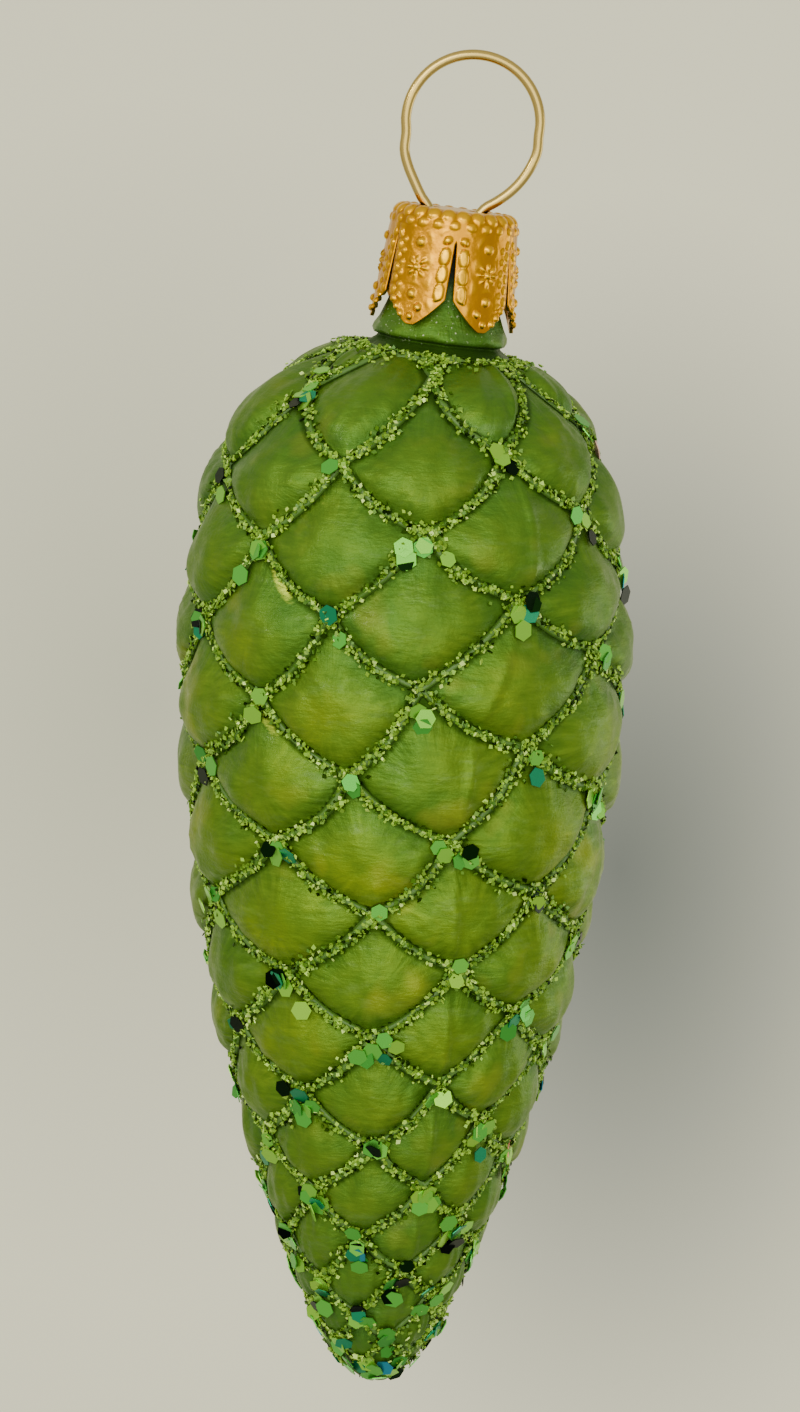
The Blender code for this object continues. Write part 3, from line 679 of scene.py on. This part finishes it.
def make_glue(material):
    """Low ridge of glue along every furrow, which the grains sit in."""
    net = furrow_grid()
    for _ in range(2):
        long_edges = [edge for edge in net.edges if edge.calc_length() > 0.15]
        bmesh.ops.subdivide_edges(net, edges=long_edges, cuts=2)
    flat = np.array([vert.co[:] for vert in net.verts])
    levels = np.sign(np.round(flat[:, 2], 4))
    _, height = place_of(flat[:, 0], flat[:, 1])
    counts = []
    for count, spacing in zip(flat[:, :2].T, spacings(height)):
        off_line = count - np.round(count)
        beside = np.round(count) + np.sign(off_line) * GLUE_HALF_WIDTH / spacing
        near_line = (abs(off_line) > 0.02) & (abs(off_line) < 0.08)
        counts.append(np.where(near_line, beside, count))
    ripple = 1.0 + math.prod(waves(GLUE_WAVES, flat[:, 0], flat[:, 1]))
    foot, edge = GLUE_LEVELS
    lift = np.where(levels > 0, GLUE_RISE * ripple, np.where(levels < 0, foot, edge))
    points, _, _ = on_body(*counts, lift)
    for vert, point in zip(net.verts, points):
        vert.co = point
    bmesh.ops.remove_doubles(net, verts=net.verts, dist=MERGE)
    open_edges = [edge for edge in net.edges if edge.is_boundary]
    middle = TIP.z + 0.5 * GROOVE_HEIGHT
    for above in (True, False):
        rim = [edge for edge in open_edges if (edge.verts[0].co.z > middle) == above]
        bmesh.ops.bridge_loops(net, edges=rim)
    bmesh.ops.recalc_face_normals(net, faces=net.faces)
    mesh = bpy.data.meshes.new("glitter_glue")
    net.to_mesh(mesh)
    net.free()
    mesh.materials.append(material)
    mesh.shade_smooth()
    obj = add_object("glitter_glue", mesh, "glitter")
    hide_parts("glitter_net")


def prism_mesh(name, centres, axes, radii, thickness, tints):
    """One mesh of many flat plates; radii has a column for each corner."""
    across, along, facing = axes
    count, sides = radii.shape
    turns = np.arange(sides) * 2.0 * math.pi / sides
    ring = (np.cos(turns)[None, :, None] * across[:, None, :]
            + np.sin(turns)[None, :, None] * along[:, None, :]) * radii[:, :, None]
    half = 0.5 * thickness[:, None, None] * facing[:, None, :]
    top = centres[:, None, :] + ring + half
    bottom = centres[:, None, :] + ring - half
    verts = np.concatenate([top, bottom], axis=1).reshape(-1, 3)
    base = np.arange(count)[:, None] * 2 * sides
    k = np.arange(sides)
    after = (k + 1) % sides
    caps = np.concatenate([base + k, base + sides + k[::-1]])
    walls = base[:, :, None] + np.stack([k, k + sides, after + sides, after], axis=1)
    mesh = bpy.data.meshes.new(name)
    mesh.from_pydata(verts.tolist(), [], caps.tolist() + walls.reshape(-1, 4).tolist())
    mesh.shade_flat()
    mark_points(mesh, "tint", np.repeat(tints, 2 * sides))
    return mesh


def plate_axes(rng, normals, around, tilt):
    """Random facings near the surface normal, with two axes across each plate."""
    facing = normals + rng.normal(0.0, tilt, normals.shape)
    facing /= np.linalg.norm(facing, axis=1)[:, None]
    side = np.cross(facing, around)
    side /= np.linalg.norm(side, axis=1)[:, None]
    front = np.cross(side, facing)
    spin = rng.uniform(0.0, 2.0 * math.pi, len(normals))[:, None]
    across = np.cos(spin) * front + np.sin(spin) * side
    return across, np.cross(facing, across), facing


def furrow_samples(rng):
    """Spiral counts spread along every furrow line, one family after the other."""
    rights = []
    lefts = []
    for family, (step, other) in enumerate(((FLAT_COUNT, STEEP_COUNT), (STEEP_COUNT, FLAT_COUNT))):
        order = (0, 1) if family == 0 else (1, 0)
        for line in range(step):
            fine = np.linspace((NET_TOP_ROW - other * line) / step,
                               (NET_TIP_ROW - other * line) / step, FURROW_STEPS)
            pair = (fine, np.full_like(fine, line))
            points, _, _ = on_body(pair[order[0]], pair[order[1]], np.zeros_like(fine))
            length = np.concatenate([[0.0], np.cumsum(np.linalg.norm(np.diff(points, axis=0), axis=1))])
            count = int(length[-1] / GRAIN_PITCH)
            run = np.interp(rng.uniform(0.0, length[-1], count), length, fine)
            thin = 0.5 + 0.5 * np.sin(2.1 * run + 1.7 * line + 2.0 * family)
            run = run[rng.uniform(0.0, 1.0, count) > GRAIN_GAPS * thin]
            pair = (run, np.full_like(run, line))
            rights.append(pair[order[0]])
            lefts.append(pair[order[1]])
    return np.concatenate(rights), np.concatenate(lefts)


def furrow_grains(rng):
    """Counts and lifts of the grains along the furrows."""
    right, left = furrow_samples(rng)
    right_gap, left_gap = spacings(place_of(right, left)[1])
    wander = sum(waves(WANDER_WAVES, right, left))
    spread = GRAIN_SPREAD * (1.0 + sum(waves(SPREAD_WAVES, right, left)))
    off = np.clip(rng.normal(0.0, 1.0, len(right)), -2.2, 2.2) * spread
    lift = GLUE_RISE * np.exp(-(off / (1.4 * GRAIN_SPREAD)) ** 2)
    on_left_line = left == np.floor(left)
    right = right + np.where(on_left_line, 0.0, (off + wander) / right_gap)
    left = left + np.where(on_left_line, (off + wander) / left_gap, 0.0)
    return right, left, lift


def spread_round(rng, places, spread, drop=0.0):
    """Spiral counts strewn round places on the body."""
    right, left = places.T
    right_gap, left_gap = spacings(place_of(right, left)[1])
    right = right + (drop + rng.normal(0.0, spread, len(right))) / right_gap
    left = left + (drop + rng.normal(0.0, spread, len(left))) / left_gap
    return right, left


def grain_places(rng):
    """Counts and lifts of all grains: in the furrows, in clumps where they cross and at the collar."""
    right, left, lift = furrow_grains(rng)
    places = crossings()
    share = rng.uniform(0.1, 1.0, len(places)) ** 2
    which = np.repeat(np.arange(len(places)), (CLUMP_GRAINS * share).astype(int))
    clump_right, clump_left = spread_round(rng, places[which], CLUMP_SPREAD)
    collar_turn = rng.uniform(-180.0, 180.0, COLLAR_GRAINS)
    collar_height = NET_TOP_HEIGHT - np.abs(rng.normal(0.0, COLLAR_SPREAD, COLLAR_GRAINS))
    collar_right, collar_left = lattice_at(collar_turn, collar_height)
    flat_lift = np.full(len(which) + COLLAR_GRAINS, 0.5 * GLUE_RISE)
    return (np.concatenate([right, clump_right, collar_right]),
            np.concatenate([left, clump_left, collar_left]), np.concatenate([lift, flat_lift]))


def lift_above_glass(right, left, lift):
    """Lift from the furrow floor that clears the scales' flanks too."""
    angle, height = place_of(right, left)
    glass = relief_depth(height) * raised_share(angle, height)
    return np.maximum(lift, glass + GLASS_CLEARANCE)


def plate_pieces(rng, kinds, right, left, lift, tilt, radii, thickness):
    """Add one piece of plates for each kind, drawn at random by the kinds' shares."""
    points, normals, around = on_body(right, left, lift)
    inside = points[:, 2] - radii.max(axis=1) > CAD_BOX[0][2]
    points, normals, around, radii, thickness = (
        values[inside] for values in (points, normals, around, radii, thickness))
    axes = plate_axes(rng, normals, around, tilt)
    tints = rng.uniform(0.0, 1.0, len(points))
    drawn = rng.choice(len(kinds), len(points), p=[share for _, share, *_ in kinds])
    for k, (name, _, roughness, metallic, stops) in enumerate(kinds):
        pick = drawn == k
        picked = [axis[pick] for axis in axes]
        mesh = prism_mesh(name, points[pick], picked, radii[pick], thickness[pick], tints[pick])
        mesh.materials.append(tinted_material(name, roughness, metallic, stops))
        add_object(name, mesh, "glitter")


def make_grains():
    rng = np.random.default_rng(SEED)
    right, left, lift = grain_places(rng)
    count = len(right)
    lift = lift_above_glass(right, left, lift) + rng.uniform(0.0, GRAIN_LIFT, count)
    sizes = rng.uniform(0.65, 1.2, (count, 1))
    radii = GRAIN_RADIUS * sizes * rng.uniform(0.6, 1.25, (count, GRAIN_CORNERS))
    thickness = GRAIN_THICKNESS * rng.uniform(0.8, 1.6, count)
    plate_pieces(rng, GRAIN_KINDS, right, left, lift, GRAIN_TILT, radii, thickness)


def make_flakes():
    rng = np.random.default_rng(SEED + 1)
    places = crossings()
    _, height = place_of(*places.T)
    counts = rng.choice(len(FLAKE_CHANCES), len(places), p=FLAKE_CHANCES)
    counts = counts + TIP_FLAKES * (height < TIP_FLAKES_HEIGHT)
    places = places[np.repeat(np.arange(len(places)), counts)]
    right, left = spread_round(rng, places, FLAKE_SPREAD, FLAKE_DROP)
    lift = lift_above_glass(right, left, np.full(len(right), GLUE_RISE))
    lift = lift + rng.uniform(*FLAKE_LIFT, len(right))
    radii = FLAKE_RADIUS * rng.uniform(0.85, 1.12, (len(right), 1)) * np.ones((1, 6))
    thickness = np.full(len(right), FLAKE_THICKNESS)
    plate_pieces(rng, FLAKE_KINDS, right, left, lift, FLAKE_TILT, radii, thickness)


class Nodes:
    """Short ways to add nodes to a tree; an input is a number, a triple or a socket to link."""

    def __init__(self, tree):
        self.tree = tree

    def give(self, socket, value):
        if isinstance(value, bpy.types.NodeSocket):
            self.tree.links.new(value, socket)
        elif isinstance(value, tuple) and len(socket.default_value) > len(value):
            socket.default_value = (*value, 1.0)
        else:
            socket.default_value = value

    def add(self, kind, **inputs):
        """New node; an underscore in an input's name stands for a space."""
        node = self.tree.nodes.new("ShaderNode" + kind)
        for name, value in inputs.items():
            self.give(node.inputs[name.replace("_", " ")], value)
        return node

    def attribute(self, name, output="Fac"):
        node = self.add("Attribute")
        node.attribute_name = name
        return node.outputs[output]

    def operate(self, kind, operation, values):
        node = self.add(kind)
        node.operation = operation
        for socket, value in zip(node.inputs, values):
            self.give(socket, value)
        return node.outputs

    def maths(self, operation, *values):
        return self.operate("Math", operation, values)["Value"]

    def vectors(self, operation, *values):
        scalar = operation in ("LENGTH", "DOT_PRODUCT")
        return self.operate("VectorMath", operation, values)["Value" if scalar else "Vector"]

    def noise(self, place, scale, detail, roughness=0.5):
        node = self.add("TexNoise", Vector=place, Scale=scale, Detail=detail, Roughness=roughness)
        return node.outputs["Fac"]

    def strokes(self, place, scale, turn, detail, roughness):
        """Noise drawn out along one direction."""
        node = self.add("Mapping", Vector=place, Scale=scale, Rotation=(STROKE_TILT, turn, 0.0))
        return self.noise(node.outputs["Vector"], 1.0, detail, roughness)

    def ramp(self, level, stops, interpolation="LINEAR"):
        """Colour at a level between stops, each a place and a colour."""
        node = self.add("ValToRGB", Fac=level)
        node.color_ramp.interpolation = interpolation
        while len(node.color_ramp.elements) < len(stops):
            node.color_ramp.elements.new(0.5)
        for element, (place, colour) in zip(node.color_ramp.elements, stops):
            element.position = place
            element.color = (*colour, 1.0)
        return node.outputs["Color"]

    def fade(self, value, dark, light):
        """Grey level that is 0 at one value and 1 at another."""
        return self.ramp(value, sorted(((dark, BLACK), (light, WHITE))))

    def mix(self, factor, first, second, blend="MIX"):
        node = self.add("Mix")
        node.data_type = "RGBA"
        node.blend_type = blend
        for socket, value in zip(MIX_INPUTS, (factor, first, second)):
            self.give(node.inputs[socket], value)
        return node.outputs[MIX_RESULT]

    def bump(self, height, strength, distance):
        node = self.add("Bump", Height=height, Strength=strength, Distance=distance)
        return node.outputs["Normal"]


def new_material(name, colour, roughness, metallic):
    """A material, its node helper and its shader's inputs."""
    material = bpy.data.materials.new(name)
    material.use_nodes = True
    shader = material.node_tree.nodes["Principled BSDF"].inputs
    shader["Base Color"].default_value = (*colour, 1.0)
    shader["Roughness"].default_value = roughness
    shader["Metallic"].default_value = metallic
    return material, Nodes(material.node_tree), shader


def scale_strokes(nodes):
    """Fine strokes that run out from the middle of each scale, and how far out they are."""
    counts = nodes.attribute("counts", "Vector")
    middle = nodes.vectors("SUBTRACT", nodes.vectors("FRACTION", counts), (0.5, 0.5, 0.0))
    which = nodes.vectors("MULTIPLY", nodes.vectors("FLOOR", counts), (3.7, 5.1, 0.0))
    around = nodes.vectors("MULTIPLY", nodes.vectors("NORMALIZE", middle), (7.0, 7.0, 0.0))
    away = nodes.vectors("LENGTH", middle)
    depth = nodes.add("CombineXYZ", Z=nodes.maths("MULTIPLY", away, 3.0))
    place = nodes.vectors("ADD", nodes.vectors("ADD", around, which), depth.outputs["Vector"])
    outwards = nodes.fade(away, 0.10, 0.42)
    centred = nodes.maths("SUBTRACT", nodes.noise(place, 1.0, 3.0, 0.6), 0.5)
    return nodes.maths("MULTIPLY_ADD", centred, outwards, 0.5), outwards


def lacquer_masks(nodes, place, crest):
    """Where the lacquer takes another colour, from 0 to 1, by the colours' names."""
    rise = nodes.add("SeparateXYZ", Vector=place).outputs["Z"]

    def past(slope, start):
        return nodes.maths("MULTIPLY_ADD", rise, slope, start)

    hatch = nodes.strokes(place, (1500.0, 1500.0, 5200.0), -0.5, 2.0, 0.6)
    specks = nodes.fade(nodes.noise(place, 4200.0, 2.0), 0.67, 0.71)
    return {
        "pearl": nodes.fade(nodes.strokes(place, (260.0, 260.0, 700.0), 0.8, 5.0, 0.7), 0.54, 0.72),
        "gold": nodes.fade(nodes.noise(place, 210.0, 2.0), 0.60, 0.74),
        "cool": nodes.fade(nodes.maths("MAXIMUM", past(20.0, 1.3), past(-30.0, -2.2)), 0.0, 1.0),
        # painted shade at the furrow floors and in the neck's groove
        "furrow": nodes.fade(crest, 0.12, 0.0),
        # painted highlight: bright hatched streaks on the left scales
        "painted_highlight_streak": nodes.fade(nodes.maths("MULTIPLY", nodes.attribute("painted_highlight"), hatch), 0.16, 0.46),
        "specks": nodes.maths("MULTIPLY", specks, nodes.fade(past(200.0, 4.6), 0.0, 0.2)),
        # painted shade on the neck inside the cap
        "shade_under_cap": nodes.fade(past(400.0, 7.9), 0.0, 1.0),
    }


def glass_material():
    """Pearly green lacquer, olive on the crests and darker, cooler down the flanks and in the furrows as
    painted shade, with fine brush strokes.
    """
    material, nodes, shader = new_material("green_lacquer", LACQUER_AND_SHADE_STOPS[1][1], 0.44, 0.5)
    place = nodes.add("TexCoord").outputs["Object"]
    crest = nodes.attribute("crest")
    clouds = nodes.maths("MULTIPLY_ADD", nodes.noise(place, 130.0, 4.0, 0.6), 1.2, -0.24)
    # Lacquer colour by rise of the relief: darker down the flanks as painted shade
    colour = nodes.ramp(nodes.maths("MULTIPLY_ADD", crest, 0.24, clouds), LACQUER_AND_SHADE_STOPS)
    brushed = nodes.strokes(place, (480.0, 480.0, 1900.0), 0.6, 4.0, 0.65)
    radial, outwards = scale_strokes(nodes)
    for strokes, dark in ((brushed, (0.80, 0.84, 0.80)), (radial, (0.72, 0.78, 0.72))):
        shade = nodes.ramp(strokes, ((0.32, dark), (0.56, WHITE), (0.70, (1.20, 1.14, 1.2))))
        colour = nodes.mix(1.0, colour, shade, "MULTIPLY")
    masks = lacquer_masks(nodes, place, crest)
    for name, strength, tint in LACQUER_TINTS:
        colour = nodes.mix(nodes.maths("MULTIPLY", masks[name], strength), colour, tint)
    nodes.give(shader["Base Color"], colour)
    height = nodes.maths("MULTIPLY_ADD", radial, outwards, brushed)
    height = nodes.maths("MULTIPLY_ADD", nodes.noise(place, 3200.0, 2.0), 0.4, height)
    normal = nodes.bump(height, 0.6, 0.00014)
    nodes.give(shader["Normal"], normal)
    nodes.give(shader["Coat Normal"], normal)
    open_part = nodes.maths("SUBTRACT", 1.0, masks["furrow"])
    coat = nodes.maths("MULTIPLY_ADD", masks["pearl"], 0.22, 0.035)
    nodes.give(shader["Specular IOR Level"], nodes.maths("MULTIPLY", open_part, 0.12))
    nodes.give(shader["Coat Weight"], nodes.maths("MULTIPLY", open_part, coat))
    shader["Coat Roughness"].default_value = 0.16
    return material


def tinted_material(name, roughness, metallic, stops):
    """Plates whose colour varies from one to the next."""
    material, nodes, shader = new_material(name, stops[0][1], roughness, metallic)
    nodes.give(shader["Base Color"], nodes.ramp(nodes.attribute("tint"), stops))
    return material


def dome(across, down, place, size):
    """Round or oval bead: 1 in its middle, 0 from its edge on."""
    return rounded(((across - place[0]) / size[0]) ** 2 + ((down - place[1]) / size[1]) ** 2)


def ringed_dot(across, down, place, radius):
    """Round boss in a sunk ring."""
    away = np.hypot(across - place[0], down - place[1]) / radius
    return rounded((away / 0.70) ** 2) - np.exp(-((away - 0.96) / 0.26) ** 2)


def rosette(across, down, place, radius):
    """Eight petals round a small boss."""
    turn = np.arctan2(down - place[1], across - place[0])
    away = np.hypot(across - place[0], down - place[1]) / radius
    petals = np.cos(8.0 * turn) * np.exp(-((away - 0.62) / 0.26) ** 2)
    return 0.9 * petals + 0.8 * rounded((away / 0.26) ** 2)


def stronger(first, second):
    """Of two reliefs, the one that departs more from the sheet."""
    return np.where(np.abs(first) > np.abs(second), first, second)


def tab_half(depth):
    """Half width of a tab, as a distance along the sheet, at depths below the cap's top."""
    radius = CAP_TOP_RADIUS + (CAP_FOOT_RADIUS - CAP_TOP_RADIUS) * depth / CAP_DEPTH
    slit = np.interp(depth, (SLIT_TOP, SLIT_TOP + SLIT_OPENING, SLIT_FOOT),
                     (0.0, SLIT_TOP_HALF, SLIT_FOOT_HALF))
    whole = math.pi / TAB_COUNT * radius - slit
    point = np.clip((depth - SLIT_FOOT) / (CAP_DEPTH - SLIT_FOOT), 0.0, 1.0)
    return TAB_END_HALF + (whole - TAB_END_HALF) * (1.0 - point) ** 0.8


def tab_embossing(across, down):
    """Stamped pattern of one tab: beads at negative places, a row of cells at positive ones."""
    x, d = across / MM, down / MM
    half = tab_half(down) / MM
    rise = rosette(x, d, *ROSETTE)
    inset, depth, radius = EDGE_DOT
    for place, size in (*RINGED_DOTS, ((half - inset, depth), radius)):
        rise = stronger(rise, ringed_dot(x, d, place, size))
    inset, depths, size = CELLS
    for depth in depths:
        cell = dome(x, d, (half - inset, depth), size)
        rise = stronger(rise, np.minimum(1.2 * cell, 0.8))
    inset, width, top, foot = VALLEY
    valley = np.exp(-((x - (half - inset)) / width) ** 2) * (d > top) * (d < foot)
    rise = stronger(rise, -0.8 * valley)
    for strength, inset, first, pitch, count, size, at_middle in BEAD_ROWS:
        for depth in first + pitch * np.arange(count):
            edge = tab_half(depth * MM) / MM if at_middle else half
            rise = stronger(rise, strength * dome(x, d, (inset - edge, depth), size))
    uneven = math.prod(waves(SHEET_WAVES, x, d))
    return rise + uneven * (half - np.abs(x) > 0.1)


def shoulder_embossing(turn, along):
    """Round beads on the cap's shoulder; along is 0 at the top's edge and 1 at the skirt."""
    pitch = math.tau / SHOULDER_BEADS
    total = 0.0
    for shift, wide, level, high, strength in SHOULDER_ROWS_OF_BEADS:
        off = (turn / pitch + shift) % 1.0 - 0.5
        beads = rounded((off / wide) ** 2 + ((along - level) / high) ** 2)
        total = np.maximum(total, strength * beads)
    return total


def cap_sheet():
    """Outer face of the stamped sheet, tab by tab: points, embossing and grid faces."""
    share = np.linspace(0.0, 1.0, TOP_ROWS, endpoint=False)
    bend = np.linspace(0.0, 0.5 * math.pi, SHOULDER_ROWS, endpoint=False)
    skirt = np.linspace(0.0, 1.0, SKIRT_ROWS)
    centre = CAP_TOP_RADIUS - CAP_SHOULDER
    depth = np.concatenate([np.zeros(TOP_ROWS), CAP_SHOULDER * (1.0 - np.cos(bend)),
                            CAP_SHOULDER + (CAP_DEPTH - CAP_SHOULDER) * skirt])
    radius = np.concatenate([CAP_CENTRE + (centre - CAP_CENTRE) * share,
                             centre + CAP_SHOULDER * np.sin(bend),
                             CAP_TOP_RADIUS + (CAP_FOOT_RADIUS - CAP_TOP_RADIUS) * skirt])
    slope = np.concatenate([np.zeros(TOP_ROWS), bend, np.full(SKIRT_ROWS, 0.5 * math.pi)])
    rows = len(depth)
    across = np.linspace(-1.0, 1.0, TAB_COLUMNS + 1)
    points = []
    rises = []
    faces = []
    for k in range(TAB_COUNT):
        middle = SLIT_ANGLE + (k + 0.5) * math.tau / TAB_COUNT
        half = np.where(depth < SLIT_TOP, math.pi / TAB_COUNT, tab_half(depth) / radius)
        turn = middle + across[None, :] * half[:, None]
        place = across[None, :] * half[:, None] * radius[:, None]
        mirror = 1.0 if k % 2 else -1.0
        down = np.repeat(depth[:, None], TAB_COLUMNS + 1, axis=1)
        rise = np.where(down > 1.2 * CAP_SHOULDER, tab_embossing(mirror * place, down), 0.0)
        along = np.repeat((slope / (0.5 * math.pi))[:, None], TAB_COLUMNS + 1, axis=1)
        edge = np.where((down > 0.0) & (down < CAP_SHOULDER + 0.0005),
                        shoulder_embossing(turn, along + (down - CAP_SHOULDER).clip(0) / CAP_SHOULDER), 0.0)
        rise = np.maximum(rise, edge)
        out = radius[:, None] + EMBOSS * rise * np.sin(slope)[:, None]
        height = CAP_HEIGHT - down + EMBOSS * rise * np.cos(slope)[:, None]
        points.append(np.stack([out * np.sin(turn), -out * np.cos(turn), height], axis=2).reshape(-1, 3))
        rises.append(rise.ravel())
        corner = np.arange((rows - 1) * TAB_COLUMNS)
        corner = k * rows * (TAB_COLUMNS + 1) + corner + corner // TAB_COLUMNS
        below = corner + TAB_COLUMNS + 1
        faces.append(np.stack([corner, corner + 1, below + 1, below], axis=1))
    return np.concatenate(points), np.concatenate(rises), np.concatenate(faces)


def make_cap(material):
    points, rises, faces = cap_sheet()
    mesh = bpy.data.meshes.new("gold_cap")
    mesh.from_pydata(points.tolist(), [], faces[:, ::-1].tolist())
    mark_points(mesh, "stamp", rises)
    sheet = bmesh.new()
    sheet.from_mesh(mesh)
    bmesh.ops.remove_doubles(sheet, verts=sheet.verts, dist=MERGE)
    middle = [edge for edge in sheet.edges if edge.is_boundary
              and max(vert.co.xy.length for vert in edge.verts) < 0.0005]
    bmesh.ops.holes_fill(sheet, edges=middle, sides=0)
    bmesh.ops.recalc_face_normals(sheet, faces=sheet.faces)
    sheet.to_mesh(mesh)
    sheet.free()
    mesh.materials.append(material)
    obj = add_object("gold_cap", mesh, "gold_sheet")
    solid = obj.modifiers.new("Thickness", "SOLIDIFY")
    solid.thickness = CAP_SHEET
    solid.offset = -1.0
    drill = add_object("drill", bpy.data.meshes.new("drill"))
    work = bmesh.new()
    for side in WIRE_HOLES:
        bmesh.ops.create_cone(work, cap_ends=True, segments=32, radius1=WIRE_HOLE_RADIUS,
                              radius2=WIRE_HOLE_RADIUS, depth=8.0 * CAP_SHEET,
                              matrix=Matrix.Translation((side, 0.0, CAP_HEIGHT)))
    work.to_mesh(drill.data)
    work.free()
    holes = obj.modifiers.new("Holes", "BOOLEAN")
    holes.operation = "DIFFERENCE"
    holes.object = drill
    finished = evaluated_mesh(obj)
    obj.modifiers.clear()
    bpy.data.objects.remove(drill)
    finished.transform(NECK_FRAME)
    finished.shade_smooth()
    obj.data = finished
    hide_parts("cap")


def gold_material():
    """Orange gold, brown in the stamped hollows as painted shade and bright on the bosses as painted
    highlight.
    """
    material, nodes, shader = new_material("stamped_gold", GOLD_SHADE_AND_HIGHLIGHT_STOPS[-1][1], 0.28, 1.0)
    level = nodes.maths("MULTIPLY_ADD", nodes.attribute("stamp"), 0.5, 0.4)
    nodes.give(shader["Base Color"], nodes.ramp(level, GOLD_SHADE_AND_HIGHLIGHT_STOPS))
    place = nodes.add("TexCoord").outputs["Object"]
    nodes.give(shader["Normal"], nodes.bump(nodes.noise(place, 1800.0, 3.0), 0.4, 0.0001))
    return material


def make_wire(material):
    turn = np.linspace(LOOP_START, LOOP_END, LOOP_STEPS + 1)
    loop = np.array(LOOP_CENTRE) + LOOP_RADIUS * np.stack([np.cos(turn), np.sin(turn)], axis=1)
    path = smooth_path([*LEFT_LEG[::-1], *loop, *RIGHT_LEG], WIRE_RADIUS)
    curve = bpy.data.curves.new("gold_wire", "CURVE")
    curve.dimensions = "3D"
    curve.bevel_depth = WIRE_RADIUS
    curve.bevel_resolution = 6
    curve.use_fill_caps = True
    spline = curve.splines.new("POLY")
    spline.points.add(len(path) - 1)
    for point, (x, height) in zip(spline.points, path):
        point.co = (*(NECK_FRAME @ Vector((x, 0.0, CAP_HEIGHT + height))), 1.0)
    spline.use_smooth = True
    curve.materials.append(material)
    obj = add_object("wire_loop", curve, "gold_wire")
    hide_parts("wire_hanger")


def shade_spot(nodes, place, spot):
    """Soft oval: 1 in its middle and 0 from its edge on."""
    (x, y), (wide, high) = spot
    node = nodes.add("Mapping", Vector=place, Location=(x, y, 0.0), Scale=(wide, high, 1.0))
    node.vector_type = "TEXTURE"
    fade = nodes.add("TexGradient", Vector=node.outputs["Vector"])
    fade.gradient_type = "SPHERICAL"
    return fade.outputs["Fac"]


def backdrop_material():
    """Pale warm grey with painted shade: a light oval on the ornament's left and a soft, deeper painted
    shadow to its right.
    """
    material, nodes, shader = new_material("pale_surface", BACKDROP_LIGHT, 0.95, 0.0)
    place = nodes.add("TexCoord").outputs["Object"]
    colour = nodes.mix(shade_spot(nodes, place, SHADE_LEFT), BACKDROP_LIGHT, BACKDROP_LEFT_SHADE)
    shade = nodes.ramp(shade_spot(nodes, place, SHADE_RIGHT), SHADE_STOPS, "B_SPLINE")
    colour = nodes.mix(1.0, colour, shade, "MULTIPLY")
    nodes.give(shader["Base Color"], colour)
    nodes.give(shader["Emission Color"], colour)
    shader["Emission Strength"].default_value = BACKDROP_GLOW
    return material


def make_stage():
    """Pale surface behind the ornament, as if it lay on a table seen from above."""
    bpy.ops.mesh.primitive_plane_add(size=BACKDROP_SIZE, location=AIM - BACKDROP_GAP * TO_CAMERA)
    backdrop = bpy.context.object
    backdrop.name = "backdrop"
    backdrop.rotation_euler = TO_CAMERA.to_track_quat("Z", "Y").to_euler()
    backdrop.data.materials.append(backdrop_material())


def make_lights():
    for name, place, size, power, colour in LIGHTS:
        data = bpy.data.lights.new(name, "AREA")
        data.size = size
        data.energy = power
        data.color = colour
        light = add_object(name, data)
        light.location = AIM + Vector(place)
        light.rotation_euler = (-Vector(place)).to_track_quat("-Z", "Y").to_euler()


def make_world():
    """Even room light, brighter from the upper left and the front."""
    world = bpy.data.worlds.new("room")
    world.use_nodes = True
    nodes = Nodes(world.node_tree)
    facing = nodes.vectors("DOT_PRODUCT", nodes.add("TexCoord").outputs["Generated"],
                           tuple(Vector(ROOM_BRIGHT_SIDE).normalized()))
    level = nodes.maths("MULTIPLY_ADD", facing, 0.5, 0.5)
    background = world.node_tree.nodes["Background"].inputs
    nodes.give(background["Color"], nodes.ramp(level, ROOM_STOPS))
    background["Strength"].default_value = 1.0
    bpy.context.scene.world = world


def make_camera():
    data = bpy.data.cameras.new("camera")
    data.sensor_width = CAMERA_SENSOR
    data.lens = CAMERA_LENS
    data.clip_start, data.clip_end = CAMERA_CLIP
    camera = add_object("camera", data)
    look = (-TO_CAMERA).to_track_quat("-Z", "Y").to_matrix().to_4x4()
    roll = Matrix.Rotation(CAMERA_ROLL, 4, "Z")
    camera.matrix_world = Matrix.Translation(AIM + CAMERA_DISTANCE * TO_CAMERA) @ look @ roll
    bpy.context.scene.camera = camera


make_camera()
make_glass(glass_material())
make_glue(new_material("glitter_glue", GLUE_COLOUR, 0.5, 0.0)[0])
make_grains()
make_flakes()
make_cap(gold_material())
make_wire(new_material("gold_wire", WIRE_COLOUR, 0.24, 1.0)[0])
make_stage()
make_world()
make_lights()
